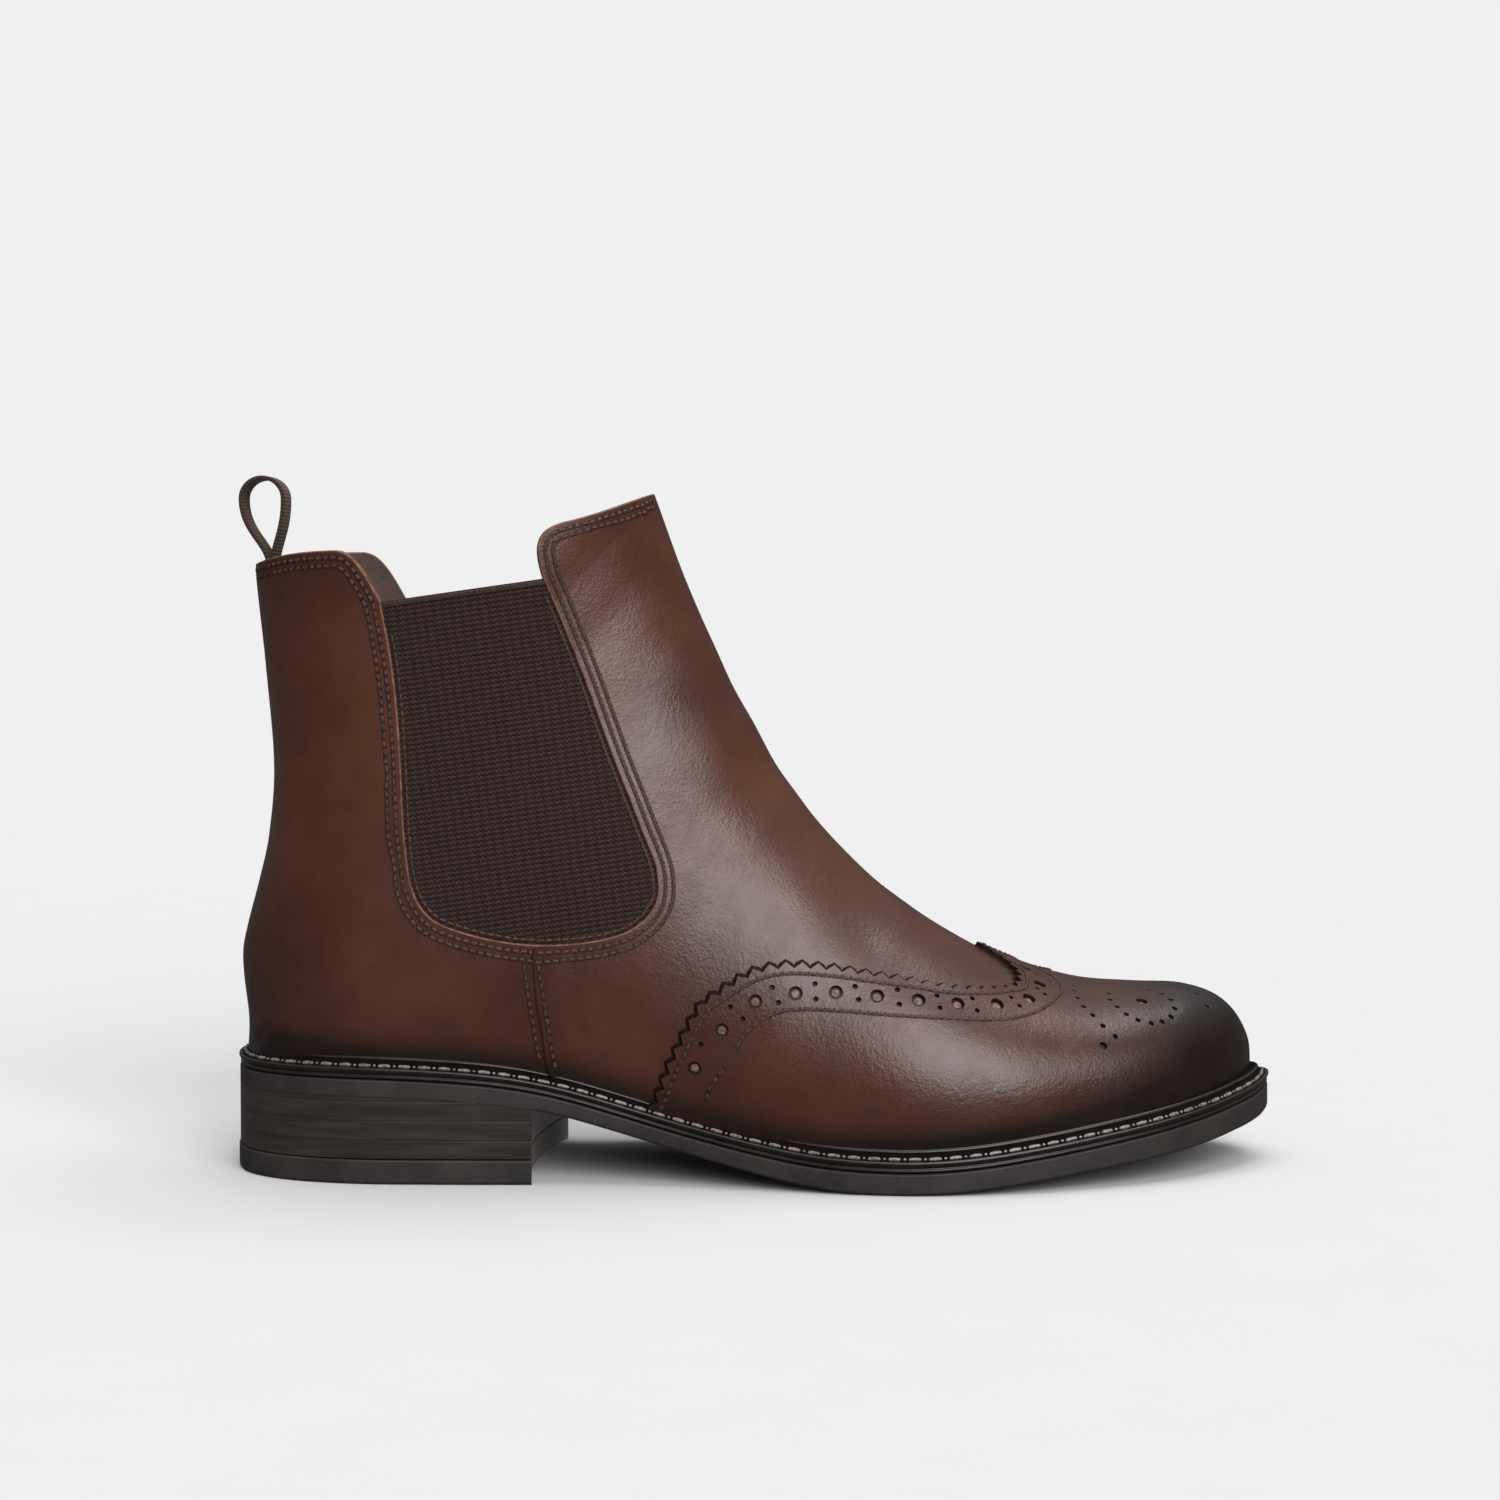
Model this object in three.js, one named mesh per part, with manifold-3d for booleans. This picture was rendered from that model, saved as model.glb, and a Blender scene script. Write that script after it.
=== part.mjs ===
// A brogue ankle boot with elastic side gores, right foot, standing empty on heel and forefoot.
// Millimetres. +X runs to the toe, -Y is the outer (lateral) side, +Y the inner (medial) side, +Z up.
// The origin lies on the floor, in the middle of the boot's length and width.

import * as THREE from 'three';
import { mergeVertices } from 'three/addons/utils/BufferGeometryUtils.js';
import Module from 'manifold-3d';

// Driving sizes of the last
const soleLength = 263.5;
const ballWidth = 88;
const toeSwing = 8;
const instepHeight = 102.3;
const shaftHeight = 169.6;
const quarterHeight = 154.9;
const collarBackHeight = 151.5;

// Bottom
const heelHeight = 21.7;
const toeSpring = 13;
const outsoleWaist = 4.1;
const outsoleBall = 5.3;
const outsoleToe = 6.2;
const weltThickness = 3;
const weltExtension = 4.6;
const weltCove = 0.9;
const weltLip = 2.4;
const weltLipWidth = 1.6;
const weltSeat = 3;
const toplift = 6;
const breastFromBack = 76.5;
const breastHollow = 3.5;
const breastSkew = 2.6;
const breastHalf = 31.7;
const edgeRound = 0.9;

// Upper
const upperWall = 2;
const capThickness = 1.2;
const peakSwing = 0.065;
const insoleThickness = 2.5;
const goreThickness = 1.4;
const goreRecess = 0.5;
const goreSetback = 34.6;
const goreLength = 68.8;
const goreBottom = 58.6;
const goreHeight = 87;
const quarterCorner = 8;
const frontCorner = 9;
const legOver = 37;

// Pull loop
const loopWidth = 11;
const loopThickness = 1.3;
const loopBulge = 11.6;
const loopRise = 22;
const loopTail = 8;
const loopLean = 2;

// Fits
const seam = 0.3;
const skirt = 4;

// How finely the round forms are divided
const sectionCount = 37;
const lowSteps = 4;
const highSteps = 9;
const outlineSteps = 2;
const featherSteps = 8;
const shapeSteps = 7;

// The cap makes the toe longer than the last, so the last sits a little back on the sole
const capLayer = capThickness + seam;
const lastLength = soleLength - 2 * weltExtension - capLayer;

const colours = {
  leather: 0x5b3424,
  elastic: 0x3b2b27,
  rubber: 0x2c2624,
  stack: 0x302926,
  insole: 0x9a7a58,
  ribbon: 0x3d2c26,
};

// Plan of the sole: along is a share of the sole's length from its middle, the sides are shares of the
// ball's width, and the tips at heel and toe are added by the outline itself.
const soleRows = [
  { along: -0.485, lateral: -0.170, medial: 0.170 },
  { along: -0.450, lateral: -0.267, medial: 0.267 },
  { along: -0.382, lateral: -0.335, medial: 0.330 },
  { along: -0.286, lateral: -0.352, medial: 0.341 },
  { along: -0.191, lateral: -0.355, medial: 0.324 },
  { along: -0.095, lateral: -0.375, medial: 0.324 },
  { along: 0.000, lateral: -0.432, medial: 0.352 },
  { along: 0.095, lateral: -0.492, medial: 0.420 },
  { along: 0.172, lateral: -0.503, medial: 0.480 },
  { along: 0.248, lateral: -0.469, medial: 0.503 },
  { along: 0.324, lateral: -0.392, medial: 0.486 },
  { along: 0.382, lateral: -0.312, medial: 0.441 },
  { along: 0.431, lateral: -0.210, medial: 0.369 },
  { along: 0.470, lateral: -0.097, medial: 0.279 },
  { along: 0.492, lateral: 0.000, medial: 0.182 },
];

// Height of the sole's bottom: heel is a share of the heel's height, toe a share of the toe spring.
const bottomRows = [
  { along: -0.500, heel: 1.00, toe: 0 },
  { along: -0.382, heel: 1.00, toe: 0 },
  { along: -0.286, heel: 0.96, toe: 0 },
  { along: -0.213, heel: 0.87, toe: 0 },
  { along: -0.175, heel: 0.76, toe: 0 },
  { along: -0.106, heel: 0.51, toe: 0 },
  { along: -0.038, heel: 0.29, toe: 0 },
  { along: 0.019, heel: 0.12, toe: 0 },
  { along: 0.060, heel: 0.03, toe: 0 },
  { along: 0.092, heel: 0, toe: 0 },
  { along: 0.174, heel: 0, toe: 0 },
  { along: 0.210, heel: 0, toe: 0.085 },
  { along: 0.270, heel: 0, toe: 0.24 },
  { along: 0.340, heel: 0, toe: 0.40 },
  { along: 0.425, heel: 0, toe: 0.62 },
  { along: 0.475, heel: 0, toe: 0.82 },
  { along: 0.500, heel: 0, toe: 1.00 },
];

// Thickness of the outsole: each column is how much of that named thickness counts there.
const thicknessRows = [
  { along: -0.50, waist: 1, ball: 0, toe: 0 },
  { along: -0.10, waist: 1, ball: 0, toe: 0 },
  { along: 0.12, waist: 0, ball: 1, toe: 0 },
  { along: 0.25, waist: 0, ball: 1, toe: 0 },
  { along: 0.45, waist: 0, ball: 0, toe: 1 },
  { along: 0.50, waist: 0, ball: 0, toe: 1 },
];

// Front line of the upper in side view, from the toe up the instep and past the collar: along is a share
// of the last's length, instep a share of the instep's height, shaft a share of the rise from there up.
const ridgeRows = [
  { along: 0.500, instep: 0.250, shaft: 0 },
  { along: 0.498, instep: 0.293, shaft: 0 },
  { along: 0.485, instep: 0.355, shaft: 0 },
  { along: 0.468, instep: 0.392, shaft: 0 },
  { along: 0.438, instep: 0.416, shaft: 0 },
  { along: 0.390, instep: 0.420, shaft: 0 },
  { along: 0.330, instep: 0.432, shaft: 0 },
  { along: 0.266, instep: 0.480, shaft: 0 },
  { along: 0.198, instep: 0.567, shaft: 0 },
  { along: 0.140, instep: 0.664, shaft: 0 },
  { along: 0.090, instep: 0.776, shaft: 0 },
  { along: 0.050, instep: 0.889, shaft: 0 },
  { along: 0.020, instep: 1, shaft: 0 },
  { along: -0.029, instep: 1, shaft: 0.342 },
  { along: -0.069, instep: 1, shaft: 0.682 },
  { along: -0.100, instep: 1, shaft: 1 },
  { along: -0.151, instep: 1, shaft: 1.511 },
];

// Back line of the upper in side view: up is a share of the height from the heel seat to the collar.
const backRows = [
  { up: -0.030, along: -0.500 },
  { up: 0.068, along: -0.505 },
  { up: 0.131, along: -0.5135 },
  { up: 0.193, along: -0.516 },
  { up: 0.255, along: -0.5095 },
  { up: 0.349, along: -0.4975 },
  { up: 0.442, along: -0.4875 },
  { up: 0.575, along: -0.4820 },
  { up: 0.786, along: -0.4895 },
  { up: 1.000, along: -0.5000 },
  { up: 1.314, along: -0.5090 },
];

// Sections of the last, from the toe tip round the heel and up the leg. ridge is how far along the front
// line a section ends. bottom is where it starts: 0 at the toe, 1 at the heel's corner, 2 at the top of
// the back line. bulge is how far the side swells past the feather edge, half is the free half width of
// heel and leg, own says how much half counts, and swing is the ridge's shift to the inner side, all
// three as shares of the ball's width.
const lastRows = [
  { ridge: 0.000, bottom: 0.000, bulge: 0.000, half: 0.400, own: 0, swing: 0.091 },
  { ridge: 0.025, bottom: 0.004, bulge: 0.004, half: 0.400, own: 0, swing: 0.091 },
  { ridge: 0.052, bottom: 0.019, bulge: 0.010, half: 0.400, own: 0, swing: 0.091 },
  { ridge: 0.079, bottom: 0.044, bulge: 0.014, half: 0.400, own: 0, swing: 0.091 },
  { ridge: 0.117, bottom: 0.079, bulge: 0.018, half: 0.400, own: 0, swing: 0.090 },
  { ridge: 0.190, bottom: 0.152, bulge: 0.022, half: 0.400, own: 0, swing: 0.080 },
  { ridge: 0.280, bottom: 0.243, bulge: 0.026, half: 0.400, own: 0, swing: 0.065 },
  { ridge: 0.360, bottom: 0.335, bulge: 0.030, half: 0.400, own: 0, swing: 0.045 },
  { ridge: 0.430, bottom: 0.430, bulge: 0.036, half: 0.380, own: 0, swing: 0.035 },
  { ridge: 0.500, bottom: 0.530, bulge: 0.050, half: 0.370, own: 0.2, swing: 0.025 },
  { ridge: 0.565, bottom: 0.630, bulge: 0.060, half: 0.360, own: 0.6, swing: 0.015 },
  { ridge: 0.630, bottom: 0.730, bulge: 0.060, half: 0.357, own: 1, swing: 0.008 },
  { ridge: 0.690, bottom: 0.830, bulge: 0.060, half: 0.355, own: 1, swing: 0.004 },
  { ridge: 0.735, bottom: 0.910, bulge: 0.060, half: 0.352, own: 1, swing: 0 },
  { ridge: 0.765, bottom: 0.957, bulge: 0.060, half: 0.348, own: 1, swing: 0 },
  { ridge: 0.790, bottom: 0.985, bulge: 0.060, half: 0.344, own: 1, swing: 0 },
  { ridge: 0.810, bottom: 1.000, bulge: 0.060, half: 0.342, own: 1, swing: 0 },
  { ridge: 0.826, bottom: 1.050, bulge: 0.060, half: 0.340, own: 1, swing: 0 },
  { ridge: 0.840, bottom: 1.110, bulge: 0.060, half: 0.337, own: 1, swing: 0 },
  { ridge: 0.854, bottom: 1.180, bulge: 0.060, half: 0.334, own: 1, swing: 0 },
  { ridge: 0.868, bottom: 1.260, bulge: 0.060, half: 0.331, own: 1, swing: 0 },
  { ridge: 0.884, bottom: 1.350, bulge: 0.060, half: 0.328, own: 1, swing: 0 },
  { ridge: 0.908, bottom: 1.480, bulge: 0.060, half: 0.325, own: 1, swing: 0 },
  { ridge: 0.938, bottom: 1.640, bulge: 0.060, half: 0.322, own: 1, swing: 0 },
  { ridge: 0.970, bottom: 1.820, bulge: 0.060, half: 0.320, own: 1, swing: 0 },
  { ridge: 1.000, bottom: 2.000, bulge: 0.060, half: 0.320, own: 1, swing: 0 },
];

// Roundness of those sections, by the same ridge: widest is the height of the widest place as a share of
// the section, and low and high are the squareness under and over it.
const roundRows = [
  { ridge: 0.000, widest: 0.30, low: 2.00, high: 2.20 },
  { ridge: 0.052, widest: 0.30, low: 2.00, high: 2.30 },
  { ridge: 0.079, widest: 0.30, low: 2.00, high: 2.40 },
  { ridge: 0.117, widest: 0.30, low: 2.00, high: 2.50 },
  { ridge: 0.190, widest: 0.30, low: 2.00, high: 2.40 },
  { ridge: 0.280, widest: 0.28, low: 2.00, high: 2.10 },
  { ridge: 0.360, widest: 0.26, low: 2.00, high: 1.95 },
  { ridge: 0.430, widest: 0.26, low: 2.00, high: 1.85 },
  { ridge: 0.500, widest: 0.28, low: 2.00, high: 1.85 },
  { ridge: 0.565, widest: 0.30, low: 2.00, high: 1.85 },
  { ridge: 0.630, widest: 0.33, low: 2.10, high: 1.90 },
  { ridge: 0.690, widest: 0.35, low: 2.20, high: 1.95 },
  { ridge: 0.735, widest: 0.37, low: 2.20, high: 1.95 },
  { ridge: 0.790, widest: 0.41, low: 2.20, high: 2.00 },
  { ridge: 0.826, widest: 0.43, low: 2.20, high: 2.00 },
  { ridge: 0.854, widest: 0.46, low: 2.15, high: 2.00 },
  { ridge: 0.884, widest: 0.48, low: 2.10, high: 2.05 },
  { ridge: 0.908, widest: 0.49, low: 2.10, high: 2.05 },
  { ridge: 0.938, widest: 0.50, low: 2.10, high: 2.10 },
  { ridge: 1.000, widest: 0.50, low: 2.10, high: 2.10 },
];

// Edge of the side opening for the elastic, from its back top corner down and round to its front top
// corner: along is a share of the gore's length from its back, up a share of its height.
const goreRows = [
  { along: 0.000, up: 0.965 },
  { along: 0.044, up: 0.771 },
  { along: 0.071, up: 0.545 },
  { along: 0.089, up: 0.292 },
  { along: 0.122, up: 0.145 },
  { along: 0.182, up: 0.077 },
  { along: 0.294, up: 0.037 },
  { along: 0.529, up: 0.002 },
  { along: 0.786, up: 0.015 },
  { along: 0.907, up: 0.048 },
  { along: 0.985, up: 0.114 },
  { along: 0.993, up: 0.201 },
  { along: 0.924, up: 0.351 },
  { along: 0.826, up: 0.545 },
  { along: 0.733, up: 0.746 },
  { along: 0.642, up: 0.929 },
  { along: 0.589, up: 1.031 },
];

// Edge of the wing cap in side view, from the welt up over the wing and forward under the valley: along
// is a share of the last's length, up a share of the instep's height.
const wingRows = [
  { along: -0.0937, up: 0.08 },
  { along: -0.0910, up: 0.23 },
  { along: -0.0820, up: 0.284 },
  { along: -0.0680, up: 0.361 },
  { along: -0.0530, up: 0.425 },
  { along: -0.0214, up: 0.485 },
  { along: 0.0280, up: 0.525 },
  { along: 0.0587, up: 0.523 },
  { along: 0.1230, up: 0.4985 },
  { along: 0.1870, up: 0.466 },
  { along: 0.2260, up: 0.4526 },
  { along: 0.2520, up: 0.450 },
  { along: 0.3000, up: 0.450 },
];

// Edge of the wing cap in plan over the ridge, from its peak to its valleys: across is the distance from
// the ridge as a share of the ball's width, along a share of the last's length.
const peakRows = [
  { across: 0, along: 0.226 },
  { across: 0.045, along: 0.231 },
  { across: 0.110, along: 0.243 },
  { across: 0.175, along: 0.255 },
  { across: 0.270, along: 0.264 },
  { across: 0.400, along: 0.290 },
];

const wasm = await Module();
wasm.setup();

// A geometry with its shared corners merged and its collapsed triangles left out
function merge(geometry) {
  const bare = geometry.clone();
  bare.deleteAttribute('normal');
  bare.deleteAttribute('uv');
  const merged = mergeVertices(bare, 1e-4);
  const corners = Array.from(merged.index.array);
  const kept = [];
  for (let k = 0; k < corners.length; k += 3) {
    const [a, b, c] = corners.slice(k, k + 3);
    if (a !== b && b !== c && c !== a) kept.push(a, b, c);
  }
  merged.setIndex(kept);
  return merged;
}

// A closed geometry as a solid that can be joined and cut
function solid(geometry) {
  const merged = merge(geometry);
  return new wasm.Manifold(new wasm.Mesh({
    numProp: 3,
    vertProperties: new Float32Array(merged.attributes.position.array),
    triVerts: new Uint32Array(merged.index.array),
  }));
}

// A solid as a flat-shaded geometry
function geometryOf(body) {
  const mesh = body.getMesh();
  const geometry = new THREE.BufferGeometry();
  geometry.setAttribute('position', new THREE.BufferAttribute(new Float32Array(mesh.vertProperties), 3));
  geometry.setIndex(new THREE.BufferAttribute(new Uint32Array(mesh.triVerts), 1));
  return geometry;
}

// One column of a table at a value of its key, on a smooth curve that never overshoots its rows
function column(rows, key, name, at) {
  const last = rows.length - 2;
  let i = 0;
  while (i < last && rows[i + 1][key] < at) i += 1;
  const steepness = (k) => {
    const from = rows[k];
    const to = rows[k + 1];
    return (to[name] - from[name]) / (to[key] - from[key]);
  };
  const slope = (k) => {
    if (k === 0) return steepness(0);
    if (k === last + 1) return steepness(last);
    const before = steepness(k - 1);
    const after = steepness(k);
    return before * after <= 0 ? 0 : (2 * before * after) / (before + after);
  };
  const span = rows[i + 1][key] - rows[i][key];
  const t = THREE.MathUtils.clamp((at - rows[i][key]) / span, 0, 1);
  const t2 = t * t;
  const t3 = t2 * t;
  return rows[i][name] * (2 * t3 - 3 * t2 + 1)
    + slope(i) * span * (t3 - 2 * t2 + t)
    + rows[i + 1][name] * (3 * t2 - 2 * t3)
    + slope(i + 1) * span * (t3 - t2);
}

// Heights of the bottom's layers over the floor, at a place along the boot
function soleBottom(x) {
  const at = x / soleLength;
  return heelHeight * column(bottomRows, 'along', 'heel', at)
    + toeSpring * column(bottomRows, 'along', 'toe', at);
}

function outsoleTop(x) {
  const at = x / soleLength;
  const waist = outsoleWaist * column(thicknessRows, 'along', 'waist', at);
  const ball = outsoleBall * column(thicknessRows, 'along', 'ball', at);
  const toe = outsoleToe * column(thicknessRows, 'along', 'toe', at);
  return soleBottom(x) + waist + ball + toe;
}

function weltBottom(x) {
  return outsoleTop(x) + seam;
}

function weltTop(x) {
  return weltBottom(x) + weltThickness;
}

function seat(x) {
  return weltTop(x) + seam;
}

// Plan outline of the sole, counter-clockwise from the heel tip along the outer side to the toe and back
function soleOutline(steps) {
  const heelTip = new THREE.Vector3(-soleLength / 2, 0, 0);
  const toeTip = new THREE.Vector3(soleLength / 2, toeSwing, 0);
  const sidePoints = (side) => soleRows.map(
    (row) => new THREE.Vector3(row.along * soleLength, row[side] * ballWidth, 0),
  );
  const corners = [heelTip, ...sidePoints('lateral'), toeTip, ...sidePoints('medial').reverse()];
  const curve = new THREE.CatmullRomCurve3(corners, true, 'centripetal');
  const count = corners.length * steps;
  return Array.from({ length: count }, (_, i) => curve.getPoint(i / count));
}

// A closed plan loop moved inward by a distance, which may change along the boot
function inset(loop, distance) {
  const count = loop.length;
  return loop.map((point, i) => {
    const before = loop[(i + count - 1) % count];
    const after = loop[(i + 1) % count];
    const along = after.clone().sub(before).normalize();
    const inward = typeof distance === 'function' ? distance(point.x) : distance;
    return new THREE.Vector3(point.x - along.y * inward, point.y + along.x * inward, 0);
  });
}

// A place along the last, from its share of the last's length
function lastX(share) {
  return share * lastLength - capLayer / 2;
}

// How far the last's feather edge lies inside the sole's outline: the cap adds its layer over the toe
function featherInset(x) {
  return weltExtension + capLayer * THREE.MathUtils.smoothstep(x, lastX(wingRows[0].along), lastX(0.1));
}

// A plan loop laid on a height that changes along the boot
function lay(loop, height) {
  return loop.map((point) => new THREE.Vector3(point.x, point.y, height(point.x)));
}

// A solid through loops of equal count, from the lowest up, closed by flat strips or back to the first
function stack(rings, endless) {
  const count = rings[0].length;
  const positions = rings.flat().flatMap((point) => point.toArray());
  const index = [];
  const tri = (a, b, c) => index.push(a, b, c);
  const rounds = endless ? rings.length : rings.length - 1;
  for (let k = 0; k < rounds; k += 1) {
    const low = k * count;
    const high = ((k + 1) % rings.length) * count;
    for (let i = 0; i < count; i += 1) {
      const next = (i + 1) % count;
      tri(low + i, low + next, high + next);
      tri(low + i, high + next, high + i);
    }
  }
  if (!endless) {
    const top = (rings.length - 1) * count;
    for (let i = 0; i < count / 2; i += 1) {
      const across = count - i - 1;
      if (i + 1 < across) {
        tri(top + i, top + i + 1, top + across);
        tri(across, i + 1, i);
      }
      if (i > 0) {
        tri(top + i, top + across, top + across + 1);
        tri(across + 1, across, i);
      }
    }
  }
  const geometry = new THREE.BufferGeometry();
  geometry.setAttribute('position', new THREE.Float32BufferAttribute(positions, 3));
  geometry.setIndex(index);
  return solid(geometry);
}

// A side-view shape carried across the boot's whole width
function sidePrism(shape, width) {
  const options = { depth: width, bevelEnabled: false, curveSegments: shapeSteps };
  const geometry = new THREE.ExtrudeGeometry(shape, options);
  geometry.rotateX(Math.PI / 2);
  geometry.translate(0, width / 2, 0);
  return solid(geometry);
}

// A plan shape carried up from the floor side
function planPrism(shape, low, high) {
  const options = { depth: high - low, bevelEnabled: false, curveSegments: shapeSteps };
  const geometry = new THREE.ExtrudeGeometry(shape, options);
  geometry.translate(0, 0, low);
  return solid(geometry);
}

const outline = soleOutline(outlineSteps);
const feather = inset(soleOutline(featherSteps), featherInset);

// Where the feather edge lies across the boot, on one side, at a place along it
function featherAt(x, side) {
  const half = feather.length / 2;
  const points = side === 'lateral'
    ? feather.slice(0, half + 1)
    : [feather[0], ...feather.slice(half).reverse()];
  let i = 0;
  while (i < points.length - 2 && points[i + 1].x < x) i += 1;
  const t = THREE.MathUtils.clamp((x - points[i].x) / (points[i + 1].x - points[i].x), 0, 1);
  return THREE.MathUtils.lerp(points[i].y, points[i + 1].y, t);
}

const heelCorner = seat(lastX(-0.5)) - skirt;
const backTop = collarBackHeight + legOver;

function backAt(z) {
  const foot = heelHeight + outsoleWaist + weltThickness;
  return lastX(column(backRows, 'up', 'along', (z - foot) / (collarBackHeight - foot)));
}

const ridgeLine = new THREE.CatmullRomCurve3(ridgeRows.map((row) => new THREE.Vector3(
  lastX(row.along),
  0,
  row.instep * instepHeight + row.shaft * (shaftHeight - instepHeight),
)), false, 'centripetal');

// Start of a section under the feather edge or on the back line, for a section that ends at top
function bottomPoint(bottom, top) {
  if (bottom <= 1) {
    const x = lastX(0.5 - bottom);
    const lean = (top.x - x) / (top.z - seat(x));
    return new THREE.Vector3(x - skirt * lean, 0, seat(x) - skirt);
  }
  const z = THREE.MathUtils.lerp(heelCorner, backTop, bottom - 1);
  return new THREE.Vector3(backAt(z), 0, z);
}

// One section of the last as a loop from the bottom's middle up the outer side and down the inner side
function lastSection(i) {
  const rows = lastRows.map((row, k) => ({ ...row, k }));
  const at = (i / sectionCount) * (rows.length - 1);
  const value = (name) => column(rows, 'k', name, at);
  const top = ridgeLine.getPointAt(Math.min(1, value('ridge')));
  const bottom = bottomPoint(value('bottom'), top);
  const swing = value('swing') * ballWidth;
  const spread = Math.min(1, i);
  const onFoot = value('bottom') < 1;
  const round = (name) => column(roundRows, 'ridge', name, value('ridge'));
  const widest = round('widest');
  const low = round('low');
  const high = round('high');
  const sidePoints = (side) => {
    const sign = side === 'lateral' ? -1 : 1;
    const edge = onFoot ? featherAt(lastX(0.5 - value('bottom')), side) : 0;
    const follow = edge + sign * value('bulge') * ballWidth;
    const reach = THREE.MathUtils.lerp(follow, sign * value('half') * ballWidth, value('own'));
    const foot = onFoot ? Math.max(0, (edge - swing) / (reach - swing)) : 0;
    const point = (share, full) => {
      const place = bottom.clone().lerp(top, share);
      place.y = swing + (reach - swing) * full * spread;
      return place;
    };
    const points = [];
    for (let k = 0; k < lowSteps; k += 1) {
      const u = Math.cos((k / lowSteps) * (Math.PI / 2));
      points.push(point(widest * (1 - u), (1 - (1 - foot ** low) * u ** low) ** (1 / low)));
    }
    for (let k = 0; k < highSteps; k += 1) {
      const u = Math.sin((k / highSteps) * (Math.PI / 2));
      points.push(point(widest + (1 - widest) * u, (1 - u ** high) ** (1 / high)));
    }
    return points;
  };
  bottom.y = swing;
  top.y = swing;
  return [bottom, ...sidePoints('lateral'), top, ...sidePoints('medial').reverse()];
}

// The last's outside as one closed grid, with the direction that each of its points faces
const lastGrid = (() => {
  const sections = Array.from({ length: sectionCount + 1 }, (_, i) => lastSection(i));
  const count = sections[0].length;
  const index = [];
  for (let i = 0; i < sectionCount; i += 1) {
    for (let j = 0; j < count; j += 1) {
      const next = (j + 1) % count;
      const here = i * count;
      const there = here + count;
      index.push(here + j, here + next, there + next, here + j, there + next, there + j);
    }
  }
  const top = sectionCount * count;
  for (let j = 0; j < count / 2; j += 1) {
    const across = count - j - 1;
    if (j + 1 < across) index.push(top + j, top + j + 1, top + across);
    if (j > 0) index.push(top + j, top + across, top + across + 1);
  }
  const geometry = new THREE.BufferGeometry();
  const positions = sections.flat().flatMap((point) => point.toArray());
  geometry.setAttribute('position', new THREE.Float32BufferAttribute(positions, 3));
  geometry.setIndex(index);
  const grid = merge(geometry);
  grid.computeVertexNormals();
  return grid;
})();

// The last grown or shrunk evenly by a distance
function lastForm(distance) {
  const geometry = lastGrid.clone();
  const place = geometry.attributes.position;
  const facing = geometry.attributes.normal;
  for (let i = 0; i < place.count; i += 1) {
    place.setXYZ(
      i,
      place.getX(i) + facing.getX(i) * distance,
      place.getY(i) + facing.getY(i) * distance,
      place.getZ(i) + facing.getZ(i) * distance,
    );
  }
  return solid(geometry);
}

// Everything under a height that changes along the boot
function below(height) {
  const wide = inset(outline, -4 * weltExtension);
  return stack([lay(wide, () => -soleLength), lay(wide, height)], false);
}

const acrossAll = 3 * ballWidth;
const overAll = 2 * shaftHeight;

function gorePoints(shrink) {
  const points = goreRows.map((row) => new THREE.Vector3(
    lastX(-0.5) + goreSetback + row.along * goreLength,
    goreBottom + row.up * goreHeight,
    0,
  ));
  const curve = new THREE.CatmullRomCurve3(points, false, 'centripetal');
  const dense = curve.getPoints(goreRows.length * 2);
  return dense.map((point, i) => {
    const before = dense[Math.max(0, i - 1)];
    const after = dense[Math.min(dense.length - 1, i + 1)];
    const along = after.clone().sub(before).normalize();
    return new THREE.Vector2(point.x - along.y * shrink, point.y + along.x * shrink);
  });
}

// What is cut off above the collar, with the side openings running down from it
function collarCut() {
  const gore = gorePoints(0);
  const first = gore[0];
  const last = gore[gore.length - 1];
  const shape = new THREE.Shape();
  shape.moveTo(-soleLength, overAll);
  shape.lineTo(-soleLength, collarBackHeight);
  shape.lineTo(backAt(collarBackHeight), collarBackHeight);
  shape.quadraticCurveTo(
    first.x - 3 * quarterCorner, quarterHeight,
    first.x - 1.4 * quarterCorner, quarterHeight,
  );
  shape.bezierCurveTo(
    first.x - 0.85 * quarterCorner, quarterHeight,
    first.x - 0.5 * quarterCorner, quarterHeight - 0.65 * quarterCorner,
    first.x, first.y,
  );
  gore.slice(1).forEach((point) => shape.lineTo(point.x, point.y));
  const cornerTop = shaftHeight - 0.85 * frontCorner;
  shape.bezierCurveTo(
    last.x - 0.3 * frontCorner, last.y + 0.9 * frontCorner,
    last.x - 0.2 * frontCorner, cornerTop - 0.2 * frontCorner,
    last.x + 0.5 * frontCorner, cornerTop,
  );
  shape.quadraticCurveTo(
    last.x + 1.7 * frontCorner, cornerTop + 0.3 * frontCorner,
    lastX(-0.1), shaftHeight,
  );
  shape.lineTo(soleLength, shaftHeight + frontCorner);
  shape.lineTo(soleLength, overAll);
  shape.closePath();
  return sidePrism(shape, acrossAll);
}

// The elastic's side shape, inside its opening, with its own straight top edge
function goreCut() {
  const points = gorePoints(seam);
  const shape = new THREE.Shape(points);
  shape.closePath();
  return sidePrism(shape, acrossAll);
}

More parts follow.
